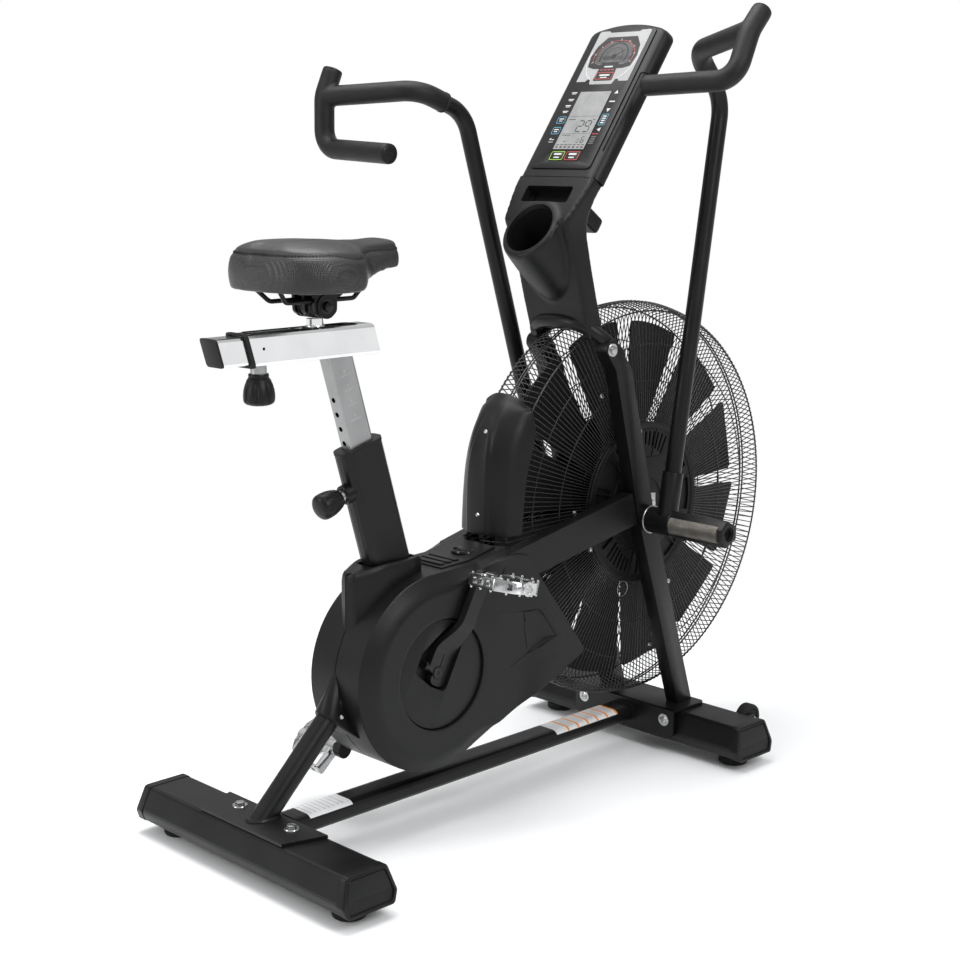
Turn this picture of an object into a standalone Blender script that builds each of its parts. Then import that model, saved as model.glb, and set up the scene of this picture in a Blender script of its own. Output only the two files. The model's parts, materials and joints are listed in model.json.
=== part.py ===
"""Air bike: an exercise bike whose pedals and swinging arms turn a caged fan.

Blender script, metres, +Z up, +X forward, +Y the rider's left. The origin is on the floor at the centre of
the bounding box. Every separate piece is its own object, and a moving piece has its origin on its joint.
"""

from math import acos, atan2, cos, degrees, hypot, pi, radians, sin

import bmesh
import bpy
from mathutils import Matrix, Vector

# ---- driving dimensions ----
WHEELBASE = 0.940
REAR_X = -0.5925
FRONT_X = REAR_X + WHEELBASE
GAP = 0.0003
FIT = 0.0005

STAB_TOP = 0.083
STAB_BOTTOM = 0.022
STAB_HALF_LENGTH = 0.260
STAB_END_SLANT = 0.012
FOOT_Y = 0.222
FOOT_R = 0.027

CRANK = Vector((-0.2635, 0.0, 0.2722))
CRANK_R = 0.175
CRANK_ANGLE = radians(28.5)
SEAT_LEAN = radians(16.1)

FAN = Vector((0.2708, 0.0, 0.4848))
CAGE_R = 0.3735
HUB_PLATE_R = 0.1515
HUB_Y = 0.0556

PIVOT = Vector((0.230, 0.0, 0.467))
UPRIGHT_Y = 0.085
ARM_SWING = radians(13.3)

COVER_R = 0.170
COVER_HALF = 0.0638
COVER_FACE = 0.078
DISC_R = 0.0930

SLIDER_TOP = 0.862
SLIDER_BOTTOM = 0.812
SADDLE_POST_X = -0.460

CONSOLE_LOW = Vector((0.0825, 0.0, 1.0857))
CONSOLE_LEAN = radians(35.9)
CONSOLE_LENGTH = 0.334
CONSOLE_HALF = 0.093
CONSOLE_THICK = 0.030
MAST_HALF = 0.076

RIGHT = -1
LEFT = 1
SIDES = {"right": RIGHT, "left": LEFT}
PARTS = None
HELPERS = None


# ---- scene, materials and small helpers ----
def clear_scene():
    for obj in list(bpy.data.objects):
        bpy.data.objects.remove(obj)


def make_collection(name):
    collection = bpy.data.collections.new(name)
    bpy.context.scene.collection.children.link(collection)
    return collection


def material(name, colour, roughness, metallic=0.0):
    mat = bpy.data.materials.new(name)
    mat.use_nodes = True
    shader = mat.node_tree.nodes["Principled BSDF"]
    shader.inputs["Base Color"].default_value = (*colour, 1.0)
    shader.inputs["Roughness"].default_value = roughness
    shader.inputs["Metallic"].default_value = metallic
    mat.diffuse_color = (*colour, 1.0)
    return mat


def make_materials():
    return {
        "powder": material("powder_black", (0.022, 0.023, 0.024), 0.45),
        "plastic": material("charcoal_plastic", (0.030, 0.031, 0.033), 0.50),
        "rubber": material("black_rubber", (0.015, 0.015, 0.015), 0.75),
        "foam": material("grip_foam", (0.028, 0.028, 0.029), 0.70),
        "chrome": material("chrome", (0.80, 0.80, 0.80), 0.12, 1.0),
        "satin": material("satin_steel", (0.60, 0.60, 0.60), 0.35, 1.0),
        "alloy": material("cast_alloy", (0.72, 0.72, 0.73), 0.28, 1.0),
        "wire": material("cage_wire", (0.018, 0.018, 0.018), 0.40),
        "vinyl": material("saddle_vinyl", (0.035, 0.035, 0.037), 0.55),
        "overlay": material("silver_overlay", (0.42, 0.43, 0.44), 0.40, 0.3),
        "belt": material("belt_rubber", (0.012, 0.012, 0.012), 0.80),
    }


def adopt(obj, mat, origin=None):
    """Link a finished object into the parts collection, with its origin on a joint where one is given."""
    for old in list(obj.users_collection):
        old.objects.unlink(obj)
    PARTS.objects.link(obj)
    obj.data.materials.clear()
    obj.data.materials.append(mat)
    if origin is not None:
        obj.data.transform(Matrix.Translation(-Vector(origin)))
        obj.location = origin
    return obj


def mesh_object(name, mesh):
    obj = bpy.data.objects.new(name, mesh)
    HELPERS.objects.link(obj)
    return obj


def from_bmesh(name, bm):
    mesh = bpy.data.meshes.new(name)
    bm.to_mesh(mesh)
    bm.free()
    return mesh_object(name, mesh)


def as_helper(obj):
    obj.hide_render = True
    obj.display_type = "WIRE"
    return obj


def baked(obj):
    """Replace an object by a welded mesh of what its curve and modifiers make, in world space."""
    bpy.context.view_layer.update()
    graph = bpy.context.evaluated_depsgraph_get()
    mesh = bpy.data.meshes.new_from_object(obj.evaluated_get(graph))
    mesh.transform(obj.matrix_world)
    name = obj.name
    bpy.data.objects.remove(obj)
    bm = bmesh.new()
    bm.from_mesh(mesh)
    bmesh.ops.remove_doubles(bm, verts=bm.verts, dist=0.00001)
    bmesh.ops.recalc_face_normals(bm, faces=bm.faces)
    bm.to_mesh(mesh)
    bm.free()
    return mesh_object(name, mesh)


def bevel(obj, width, segments=2, angle=35):
    step = obj.modifiers.new("Rounded edges", "BEVEL")
    step.width = width
    step.segments = segments
    step.limit_method = "ANGLE"
    step.angle_limit = radians(angle)
    return obj


def combine(obj, others, operation):
    for other in others:
        step = obj.modifiers.new(operation.title(), "BOOLEAN")
        step.operation = operation
        step.object = as_helper(other)
        step.solver = "EXACT"
    return baked(obj)


def cut(obj, *cutters):
    return combine(obj, cutters, "DIFFERENCE")


def join(obj, *others):
    return combine(obj, others, "UNION")


def smooth(obj, angle=35):
    obj.data.shade_smooth()
    obj.data.set_sharp_from_angle(angle=radians(angle))
    return obj


# ---- shape builders ----
def box(name, low, high):
    bm = bmesh.new()
    bmesh.ops.create_cube(bm, size=1.0)
    size = Vector(high) - Vector(low)
    bmesh.ops.scale(bm, vec=size, verts=bm.verts)
    bmesh.ops.translate(bm, vec=(Vector(high) + Vector(low)) / 2, verts=bm.verts)
    return from_bmesh(name, bm)


def rod(name, start, end, radius, sides=24, end_radius=None):
    """A cylinder or cone between two points."""
    start = Vector(start)
    end = Vector(end)
    along = end - start
    bm = bmesh.new()
    bmesh.ops.create_cone(
        bm,
        cap_ends=True,
        segments=sides,
        radius1=radius,
        radius2=radius if end_radius is None else end_radius,
        depth=along.length,
    )
    turn = along.to_track_quat("Z", "Y").to_matrix().to_4x4()
    bmesh.ops.transform(bm, matrix=Matrix.Translation((start + end) / 2) @ turn, verts=bm.verts)
    return from_bmesh(name, bm)


def outline_plate(name, outline, low, high, axis="Y", holes=()):
    """A flat outline, with any holes, extruded between two levels of one axis."""
    curve = bpy.data.curves.new(name, "CURVE")
    curve.dimensions = "2D"
    curve.fill_mode = "BOTH"
    curve.extrude = (high - low) / 2
    for points in (outline, *holes):
        spline = curve.splines.new("POLY")
        spline.points.add(len(points) - 1)
        for point, (across, up) in zip(spline.points, points):
            point.co = (across, up, 0.0, 1.0)
        spline.use_cyclic_u = True
    obj = bpy.data.objects.new(name, curve)
    HELPERS.objects.link(obj)
    middle = (low + high) / 2
    if axis == "Y":
        obj.matrix_world = Matrix.Translation((0, middle, 0)) @ Matrix.Rotation(pi / 2, 4, "X")
    elif axis == "X":
        turn = Matrix(((0, 0, 1, 0), (1, 0, 0, 0), (0, 1, 0, 0), (0, 0, 0, 1)))
        obj.matrix_world = Matrix.Translation((middle, 0, 0)) @ turn
    else:
        obj.matrix_world = Matrix.Translation((0, 0, middle))
    return baked(obj)


def turned(name, profile, centre, axis="Y", steps=32, closed=False):
    """A profile of (radius, level) pairs, its outer side running from high to low, turned about an axis."""
    bm = bmesh.new()
    verts = [bm.verts.new((radius, 0.0, level)) for radius, level in profile]
    for first, second in zip(verts, verts[1:]):
        bm.edges.new((first, second))
    if closed:
        bm.edges.new((verts[-1], verts[0]))
    obj = from_bmesh(name, bm)
    step = obj.modifiers.new("Turn", "SCREW")
    step.steps = steps
    step.render_steps = steps
    step.use_merge_vertices = True
    step.merge_threshold = 0.00001
    turn = Matrix.Rotation(-pi / 2, 4, "X") if axis == "Y" else Matrix.Identity(4)
    obj.matrix_world = Matrix.Translation(centre) @ turn
    return baked(obj)


def pipe(name, points, radius, resolution=3):
    """A round bar through a list of points."""
    curve = bpy.data.curves.new(name, "CURVE")
    curve.dimensions = "3D"
    curve.bevel_depth = radius
    curve.bevel_resolution = resolution
    curve.use_fill_caps = True
    spline = curve.splines.new("POLY")
    spline.points.add(len(points) - 1)
    for point, place in zip(spline.points, points):
        point.co = (*place, 1.0)
    obj = bpy.data.objects.new(name, curve)
    HELPERS.objects.link(obj)
    return baked(obj)


def arc(centre, radius, first, last, count):
    """Points of an arc in degrees."""
    angles = [radians(first + (last - first) * i / (count - 1)) for i in range(count)]
    return [(centre[0] + radius * cos(a), centre[1] + radius * sin(a)) for a in angles]


def rounded_rectangle(centre, width, height, radius, count=4):
    points = []
    for sign_x, sign_y, first in ((1, 1, 0), (-1, 1, 90), (-1, -1, 180), (1, -1, 270)):
        corner = (
            centre[0] + sign_x * (width / 2 - radius),
            centre[1] + sign_y * (height / 2 - radius),
        )
        points += arc(corner, radius, first, first + 90, count)
    return points


def rounded_path(corners, radii, count=6):
    """A polyline whose inner corners are replaced by arcs."""
    points = [Vector(corners[0])]
    for before, corner, after, radius in zip(corners, corners[1:], corners[2:], radii):
        corner = Vector(corner)
        back = (Vector(before) - corner).normalized()
        ahead = (Vector(after) - corner).normalized()
        half = acos(max(-1.0, min(1.0, back.dot(ahead)))) / 2
        centre = corner + (back + ahead).normalized() * (radius / sin(half))
        reach = radius * cos(half) / sin(half)
        first = corner + back * reach - centre
        last = corner + ahead * reach - centre
        turn = first.angle(last)
        axis = first.cross(last)
        for i in range(count + 1):
            points.append(centre + Matrix.Rotation(turn * i / count, 3, axis) @ first)
    points.append(Vector(corners[-1]))
    return points


def seat_point(along, across=0.0):
    """A point on the seat tube's line: along it from the crank axis, and across it towards the rear."""
    up = Vector((-sin(SEAT_LEAN), 0.0, cos(SEAT_LEAN)))
    rear = Vector((-cos(SEAT_LEAN), 0.0, -sin(SEAT_LEAN)))
    return CRANK + up * along + rear * across


def seat_frame(along):
    """The matrix that stands a piece built along +Z on the seat tube's line."""
    return Matrix.Translation(seat_point(along)) @ Matrix.Rotation(-SEAT_LEAN, 4, "Y")


def placed(obj, matrix):
    obj.data.transform(matrix)
    return obj


def mirrored(obj, side):
    """Flip a piece modelled on the right-hand side over to the left."""
    if side == LEFT:
        obj.data.transform(Matrix.Diagonal((1, -1, 1, 1)))
        obj.data.flip_normals()
    return obj


# ---- base ----
WHEEL_WAY = [(0.0310, 0.0118), (0.0310, -0.0118), (0.0042, -0.0118), (0.0042, 0.0118)]
WHEEL_X = FRONT_X + 0.063
WHEEL_Y = 0.205
WHEEL_Z = 0.067


def stabiliser(name, x):
    """A wide foot bar: a trapezoid section along Y with ends that lean in towards the top."""
    section = [(x - 0.0393, STAB_TOP), (x - 0.053, 0.041), (x - 0.045, STAB_BOTTOM)]
    section += [(2 * x - across, up) for across, up in reversed(section)]
    bar = outline_plate(name, section, -STAB_HALF_LENGTH, STAB_HALF_LENGTH)
    for vert in bar.data.vertices:
        drop = (STAB_TOP - vert.co.z) / (STAB_TOP - STAB_BOTTOM)
        vert.co.y += STAB_END_SLANT * drop * (1 if vert.co.y > 0 else -1)
    return baked(bevel(bar, 0.005))


def front_stabiliser(mats):
    """The front bar also carries a fork with a pin for each transport wheel."""
    bar = stabiliser("front_stabiliser", FRONT_X)
    pieces = []
    for side in (RIGHT, LEFT):
        for cheek in (-0.0135, 0.0135):
            middle = side * WHEEL_Y + cheek
            outline = [
                (FRONT_X + 0.030, 0.078),
                (FRONT_X + 0.030, 0.045),
                (WHEEL_X, 0.056),
                (WHEEL_X + 0.009, WHEEL_Z),
                (WHEEL_X, 0.078),
            ]
            pieces.append(outline_plate("cheek", outline, middle - 0.0015, middle + 0.0015))
        ends = (side * WHEEL_Y - 0.0145, side * WHEEL_Y + 0.0145)
        pieces.append(rod("pin", (WHEEL_X, ends[0], WHEEL_Z), (WHEEL_X, ends[1], WHEEL_Z), 0.004, 12))
    bar = join(bar, *pieces)
    ways = []
    for side in (RIGHT, LEFT):
        ways.append(turned("way", WHEEL_WAY, (WHEEL_X, side * WHEEL_Y, WHEEL_Z), steps=20, closed=True))
    return adopt(smooth(cut(bar, *ways)), mats["powder"])


def transport_wheel(side_name, side, mats):
    profile = [(0.026, 0.010), (0.0275, 0.006), (0.0275, -0.006), (0.026, -0.010)]
    profile += [(0.0045, -0.010), (0.0045, 0.010)]
    centre = (WHEEL_X, side * WHEEL_Y, WHEEL_Z)
    wheel = turned(f"transport_wheel_{side_name}", profile, centre, steps=20, closed=True)
    return adopt(smooth(wheel), mats["rubber"], centre)


def foot(end_name, x, side_name, side, mats):
    profile = [(0.0, STAB_BOTTOM - GAP), (0.024, STAB_BOTTOM - GAP), (FOOT_R, 0.012), (FOOT_R, 0.002)]
    profile += [(FOOT_R - 0.002, 0.0), (0.0, 0.0)]
    pad = turned(f"foot_{end_name}_{side_name}", profile, (x, side * FOOT_Y, 0.0), axis="Z", steps=18)
    return adopt(smooth(pad), mats["rubber"])


def base_bar(mats):
    section = rounded_rectangle((0.0, 0.062), 0.060, 0.032, 0.0150, 5)
    bar = outline_plate("base_bar", section, REAR_X + 0.0540, FRONT_X - 0.0612, axis="X")
    return adopt(smooth(bar), mats["powder"])


def rear_strut(mats):
    """A bolted plate on the rear stabiliser with a tube that leans forward to the seat tube."""
    plate_low = STAB_TOP + GAP
    plate_high = plate_low + 0.005
    plate = outline_plate(
        "rear_strut",
        [
            (REAR_X - 0.037, -0.106),
            (REAR_X - 0.037, 0.106),
            (REAR_X + 0.037, 0.128),
            (REAR_X + 0.037, -0.128),
        ],
        plate_low,
        plate_high,
        axis="Z",
    )
    start = Vector((REAR_X - 0.0100, 0.0, 0.070))
    end = start + Vector((0.717, 0.0, 0.697)) * 0.371
    tube = rod("tube", start, end, 0.0195, 24)
    tube = cut(tube, box("under", (REAR_X - 0.2, -0.1, 0.0), (REAR_X + 0.2, 0.1, plate_low + 0.001)))
    return adopt(smooth(join(plate, tube)), mats["powder"])


def front_bracket(mats):
    """An angle plate over the front stabiliser's rear edge."""
    top = STAB_TOP + GAP
    outline = [
        (FRONT_X - 0.0605, 0.030),
        (FRONT_X - 0.0550, 0.030),
        (FRONT_X - 0.0550, top),
        (FRONT_X + 0.034, top),
        (FRONT_X + 0.034, top + 0.005),
        (FRONT_X - 0.0605, top + 0.005),
    ]
    plate = bevel(outline_plate("front_bracket", outline, -0.125, 0.125), 0.002)
    return adopt(smooth(baked(plate)), mats["powder"])


# ---- main frame ----
UPRIGHT_FOOT = (0.3515, STAB_TOP + 0.0058)
UPRIGHT_TOP = (0.1595, 0.7600)
UPRIGHT_HALF = 0.020
UPRIGHT_THICK = 0.028


def upright(side_name, side, mats):
    """A rectangular tube from the front bracket up to the hoop, bent a little at the arm pivot."""
    foot_x, foot_z = UPRIGHT_FOOT
    top_x, top_z = UPRIGHT_TOP
    wide = UPRIGHT_HALF * 1.04
    outline = [
        (foot_x - wide, foot_z),
        (foot_x + wide, foot_z),
        (PIVOT.x + wide, PIVOT.z + 0.003),
        (top_x + wide, top_z),
        (top_x - wide, top_z),
        (PIVOT.x - wide, PIVOT.z - 0.003),
    ]
    middle = side * UPRIGHT_Y
    tube = outline_plate(
        f"upright_{side_name}", outline, middle - UPRIGHT_THICK / 2, middle + UPRIGHT_THICK / 2
    )
    return adopt(smooth(baked(bevel(tube, 0.004))), mats["powder"])


def hoop_points(count=17):
    """A flattened arch that leans back from one upright to the other, over the fan."""
    points = []
    for i in range(count):
        turn = pi * i / (count - 1)
        across = abs(cos(turn)) ** 0.77 * (1 if turn < pi / 2 else -1)
        rise = sin(turn) ** 0.77 if 0 < i < count - 1 else 0.0
        points.append((0.1600 - 0.0695 * rise, UPRIGHT_Y * across, 0.7735 + 0.0600 * rise))
    return points


HOOP_R = 0.0130


def frame_hoop(mats):
    legs = [(0.1600, UPRIGHT_Y, UPRIGHT_TOP[1] + GAP), (0.1600, -UPRIGHT_Y, UPRIGHT_TOP[1] + GAP)]
    path = [legs[0], *hoop_points(), legs[1]]
    return adopt(smooth(pipe("frame_hoop", path, HOOP_R, 3)), mats["powder"])


BEAM_SLOPE = 0.2165


def beam_centre_z(x):
    return 0.4635 + (x - 0.0765) * BEAM_SLOPE


def beam_outline(rear_x, front_x, half):
    """The side view of a diagonal beam, its front end cut to follow the upright."""
    return [
        (rear_x, beam_centre_z(rear_x) - half),
        (front_x + 0.0085, beam_centre_z(front_x) - half + 0.001),
        (front_x - 0.0065, beam_centre_z(front_x) + half - 0.002),
        (rear_x, beam_centre_z(rear_x) + half),
    ]


def slant_beam(obj, side):
    """Beams stand further apart at the uprights than at the covers."""
    for vert in obj.data.vertices:
        share = (vert.co.x + 0.125) / 0.325
        vert.co.y += side * (0.0695 + 0.0155 * share)
    return obj


def beam(side_name, side, mats):
    bar = outline_plate(f"beam_{side_name}", beam_outline(-0.125, 0.2010, 0.031), -0.012, 0.012)
    bar = baked(bevel(bar, 0.004))
    return adopt(smooth(slant_beam(bar, side)), mats["powder"])


def frame_spine(mats):
    """Inside the covers: a tube from the seat tube to the bar that joins the two beams."""
    front = Vector((-0.1215, 0.0, 0.4030))
    cross = rod("cross", front + Vector((0, -0.0568, 0)), front + Vector((0, 0.0568, 0)), 0.016, 20)
    rear = seat_point(0.0980, -0.0445)
    spine = rod("frame_spine", rear, front, 0.0145, 20)
    return adopt(smooth(join(spine, cross)), mats["powder"])


def crank_housing(mats):
    """The shell that holds the crank axle's bearings."""
    profile = [(0.024, 0.034), (0.024, -0.034), (0.0104, -0.034), (0.0104, 0.034)]
    shell = turned("crank_housing", profile, CRANK, steps=28, closed=True)
    return adopt(smooth(shell), mats["satin"])


def pivot_boss(side_name, side, mats):
    """A black boss on the upright's outer face, ending in a thin ring."""
    first = UPRIGHT_Y + UPRIGHT_THICK / 2 + GAP
    profile = [(0.0, -first), (0.0235, -first), (0.0235, -0.1085), (0.0262, -0.1088)]
    profile += [(0.0262, -0.1122), (0.0, -0.1122)]
    boss = turned(f"pivot_boss_{side_name}", profile, (PIVOT.x, 0, PIVOT.z), steps=28)
    return adopt(smooth(mirrored(boss, side)), mats["powder"])


def foot_peg(side_name, side, mats):
    """A six-sided peg with the shaft that the swinging arm turns on."""
    tall = 0.0255
    wide = 0.0225
    outline = [
        (PIVOT.x - wide, PIVOT.z - 0.010),
        (PIVOT.x - wide, PIVOT.z + 0.010),
        (PIVOT.x - 0.006, PIVOT.z + tall),
        (PIVOT.x + wide, PIVOT.z + 0.012),
        (PIVOT.x + wide, PIVOT.z - 0.012),
        (PIVOT.x - 0.006, PIVOT.z - tall),
    ]
    peg = outline_plate(f"foot_peg_{side_name}", outline, -0.287, -0.1665)
    peg = baked(bevel(peg, 0.004, 2, 20))
    peg = cut(peg, rod("recess", (PIVOT.x, -0.30, PIVOT.z), (PIVOT.x, -0.281, PIVOT.z), 0.013, 20))
    shaft = rod("shaft", (PIVOT.x, -0.170, PIVOT.z), (PIVOT.x, -0.1125, PIVOT.z), 0.010, 20)
    return adopt(smooth(mirrored(join(peg, shaft), side)), mats["powder"])


# ---- drive ----
FAN_PULLEY_R = 0.030
CRANK_PULLEY_R = 0.125
BELT_Y = (0.0397, 0.0467)


def crank_axle(mats):
    axle = rod("crank_axle", CRANK - Vector((0, 0.0655, 0)), CRANK + Vector((0, 0.0655, 0)), 0.0100, 24)
    return adopt(smooth(axle), mats["satin"], CRANK)


def pulley(name, centre, radius, bore, mats, windows=0):
    low, high = BELT_Y
    profile = [(radius, high), (radius, low), (bore, low), (bore, high)]
    wheel = turned(name, profile, (centre.x, 0, centre.z), steps=40 if radius > 0.1 else 18, closed=True)
    holes = []
    for i in range(windows):
        turn = 2 * pi * i / windows
        at = (centre.x + 0.6 * radius * cos(turn), centre.z + 0.6 * radius * sin(turn))
        holes.append(rod("window", (at[0], low - 0.01, at[1]), (at[0], high + 0.01, at[1]), 0.024, 10))
    if holes:
        wheel = cut(wheel, *holes)
    return adopt(smooth(wheel), mats["plastic"], centre)


def belt_outline(extra):
    """The racetrack round both pulleys: a large arc, a small arc and the two straight runs."""
    across = FAN - CRANK
    lean = atan2(across.z, across.x)
    splay = acos((CRANK_PULLEY_R - FAN_PULLEY_R) / hypot(across.x, across.z))
    first = degrees(lean + splay)
    last = degrees(lean - splay)
    big = arc((CRANK.x, CRANK.z), CRANK_PULLEY_R + extra, first, last + 360, 25)
    small = arc((FAN.x, FAN.z), FAN_PULLEY_R + extra, last, first, 9)
    return big + small


def drive_belt(mats):
    low, high = BELT_Y
    belt = outline_plate("drive_belt", belt_outline(0.0035), low, high, holes=(belt_outline(0.0005),))
    return adopt(belt, mats["belt"])


def crank_local(r, across=0.0):
    """A point of the right crank arm: r along it and across it, seen from the right side."""
    along = Vector((sin(CRANK_ANGLE), 0.0, cos(CRANK_ANGLE)))
    side = Vector((-cos(CRANK_ANGLE), 0.0, sin(CRANK_ANGLE)))
    return CRANK + along * r + side * across


def arm_outline(extra=0.0):
    """The crank arm's side view: a wide clamp end, a waist and a round pedal eye."""
    points = []
    for degree in range(200, 341, 20):
        turn = radians(degree)
        points.append(crank_local(0.022 * sin(turn) - extra, (0.022 + extra) * cos(turn)))
    half = [(0.045, 0.0215 + extra), (0.070, 0.0160 + extra), (0.100, 0.0135 + extra)]
    points += [crank_local(r, wide) for r, wide in half]
    for degree in range(0, 181, 30):
        turn = radians(degree)
        points.append(crank_local(CRANK_R + (0.014 + extra) * sin(turn), (0.014 + extra) * cos(turn)))
    points += [crank_local(r, -wide) for r, wide in reversed(half)]
    return [(p.x, p.z) for p in points]


def arm_outer_y(r):
    """How far out the arm's outer face stands: level at the clamp, stepping out to clear the cover."""
    share = min(max((r - 0.035) / 0.058, 0.0), 1.0)
    return -(0.0645 + 0.0300 * share)


def crank_arm(side_name, side, mats):
    arm = outline_plate(f"crank_arm_{side_name}", arm_outline(), 0.0, 0.014)
    bm = bmesh.new()
    bm.from_mesh(arm.data)
    along = crank_local(1.0) - CRANK
    for r in (0.035, 0.052, 0.076, 0.093):
        plane = CRANK + along * r
        everything = bm.verts[:] + bm.edges[:] + bm.faces[:]
        bmesh.ops.bisect_plane(bm, geom=everything, plane_co=plane, plane_no=along)
    for vert in bm.verts:
        r = (vert.co - CRANK).dot(along)
        vert.co.y += arm_outer_y(r)
    bmesh.ops.triangulate(bm, faces=[f for f in bm.faces if len(f.verts) > 4])
    bm.to_mesh(arm.data)
    bm.free()
    eye = crank_local(CRANK_R)
    spindle = rod("spindle", eye + Vector((0, -0.085, 0)), eye + Vector((0, -0.186, 0)), 0.0060, 16)
    shoulder = rod("shoulder", eye + Vector((0, -0.094, 0)), eye + Vector((0, -0.0985, 0)), 0.0085, 16)
    bore = rod("bore", CRANK - Vector((0, 0.10, 0)), CRANK - Vector((0, 0.03, 0)), 0.0103, 24)
    arm = cut(join(arm, spindle, shoulder), bore)
    if side == LEFT:
        turn = Matrix.Translation(CRANK) @ Matrix.Rotation(pi, 4, "Y") @ Matrix.Translation(-CRANK)
        arm.data.transform(turn)
        mirrored(arm, LEFT)
    return adopt(smooth(arm, 30), mats["plastic"], CRANK)


def crank_disc(side_name, side, mats):
    """The round cover plate that turns with the crank, with a slot that the arm stands in."""
    rim = arc((CRANK.x, CRANK.z), DISC_R, 0, 350, 36)
    disc = outline_plate(f"crank_disc_{side_name}", rim, -0.0778, -0.0738)
    slot = arm_outline(0.0015)
    disc = cut(disc, outline_plate("slot", slot, -0.10, -0.05))
    if side == LEFT:
        disc.data.transform(
            Matrix.Translation(CRANK) @ Matrix.Rotation(pi, 4, "Y") @ Matrix.Translation(-CRANK)
        )
        mirrored(disc, LEFT)
    return adopt(smooth(disc), mats["plastic"], CRANK)


PEDAL_TILT = {"right": radians(12), "left": radians(40)}


def pedal(side_name, side, mats):
    """A cast platform with four windows round the barrel that turns on the spindle."""
    outline = [(-0.047, 0.008), (-0.047, 0.060), (-0.030, 0.080), (-0.016, 0.088)]
    outline += [(-x, y) for x, y in reversed(outline)]
    windows = []
    for x in (-0.0275, 0.0275):
        windows.append(rounded_rectangle((x, 0.0265), 0.024, 0.025, 0.004, 2))
        windows.append(rounded_rectangle((x, 0.0590), 0.022, 0.028, 0.004, 2))
    body = outline_plate(f"pedal_{side_name}", outline, -0.010, 0.010, axis="Z", holes=windows)
    barrel = rod("barrel", (0, 0.002, 0), (0, 0.090, 0), 0.0125, 16)
    bore = rod("bore", (0, -0.01, 0), (0, 0.10, 0), 0.0066, 12)
    body = cut(join(body, barrel), bore)
    tilt = Matrix.Rotation(PEDAL_TILT[side_name] * (1 if side == RIGHT else -1), 4, "Y")
    body.data.transform(Matrix.Translation((0, 0.0990, 0)) @ tilt)
    if side == RIGHT:
        mirrored(body, LEFT)
    eye = crank_local(CRANK_R if side == RIGHT else -CRANK_R)
    body.data.transform(Matrix.Translation(eye))
    return adopt(smooth(body), mats["alloy"], eye)


# ---- fan ----
def fan_axle(mats):
    axle = rod("fan_axle", FAN - Vector((0, 0.0705, 0)), FAN + Vector((0, 0.0705, 0)), 0.0060, 20)
    plates = []
    for side in (RIGHT, LEFT):
        outline = [
            (FAN.x + 0.016, FAN.z - 0.018),
            (FAN.x + 0.016, FAN.z + 0.018),
            (FAN.x - 0.075, FAN.z + 0.030),
            (FAN.x - 0.068, FAN.z - 0.028),
        ]
        middle = side * 0.0685
        plates.append(outline_plate("dropout", outline, middle - 0.0020, middle + 0.0020))
    return adopt(smooth(join(axle, *plates)), mats["satin"])


ROTOR_R = 0.335
ROTOR_HALF = 0.036
PADDLES = 12


def fan_rotor(mats):
    """A hub, a star plate, twelve paddles across the wind and a hoop that ties their outer ends."""
    hub_profile = [(0.045, 0.030), (0.045, -0.030), (0.0063, -0.030), (0.0063, 0.030)]
    hub = turned("fan_rotor", hub_profile, FAN, steps=18, closed=True)
    star_profile = [(0.172, 0.002), (0.172, -0.002), (0.040, -0.002), (0.040, 0.002)]
    star = turned("star", star_profile, FAN, steps=20, closed=True)
    hoop_profile = [(0.3020, 0.033), (0.3020, -0.033), (0.2990, -0.033), (0.2990, 0.033)]
    hoop = turned("hoop", hoop_profile, FAN, steps=30, closed=True)
    paddles = []
    for i in range(PADDLES):
        turn = 2 * pi * i / PADDLES
        blade = box("paddle", (0.110, -ROTOR_HALF, -0.0015), (ROTOR_R, ROTOR_HALF, 0.0015))
        blade.data.transform(Matrix.Translation(FAN) @ Matrix.Rotation(-turn, 4, "Y"))
        paddles.append(blade)
    return adopt(smooth(join(hub, star, hoop, *paddles)), mats["plastic"], FAN)


SPOKES = 18
BELT_SECTOR = (183.0, 221.0)


def cage_half(side_name, side, mats):
    """Half a wire cage: rings and spokes left from a turned dish after its gaps are removed."""
    rings = [
        (CAGE_R, 0.0008),
        (CAGE_R - 0.0006, 0.0050),
        (0.3612, 0.0480),
        (0.3590, 0.0516),
        (0.2560, 0.0544),
        (0.2500, 0.0545),
        (0.1580, HUB_Y),
        (HUB_PLATE_R + 0.0022, HUB_Y),
    ]
    columns = 2 * SPOKES
    bm = bmesh.new()
    grid = []
    for radius, level in rings:
        row = []
        for i in range(columns):
            # A spoke's columns stand closer together than a gap's.
            turn = 2 * pi * (i // 2 + (0.16 if i % 2 else -0.16)) / SPOKES
            row.append(bm.verts.new((FAN.x + radius * cos(turn), side * level, FAN.z + radius * sin(turn))))
        grid.append(row)
    for level, (low, high) in enumerate(zip(grid, grid[1:])):
        solid_ring = level % 2 == 0
        for i in range(columns):
            turn = 360.0 * (i // 2) / SPOKES
            on_belt = side == LEFT and level == 1 and BELT_SECTOR[0] < turn < BELT_SECTOR[1]
            if (i % 2 == 0 and not on_belt) or solid_ring:
                j = (i + 1) % columns
                bm.faces.new((low[i], low[j], high[j], high[i]))
    loose = [v for v in bm.verts if not v.link_faces]
    bmesh.ops.delete(bm, geom=loose, context="VERTS")
    bmesh.ops.recalc_face_normals(bm, faces=bm.faces)
    outward = sum(f.normal.dot(Vector((f.calc_center_median() - FAN)[:])) for f in bm.faces)
    if outward < 0:
        bmesh.ops.reverse_faces(bm, faces=bm.faces)
    obj = from_bmesh(f"cage_{side_name}", bm)
    step = obj.modifiers.new("Wire thickness", "SOLIDIFY")
    step.thickness = 0.0022
    step.offset = -1.0
    return adopt(baked(obj), mats["wire"])


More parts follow.
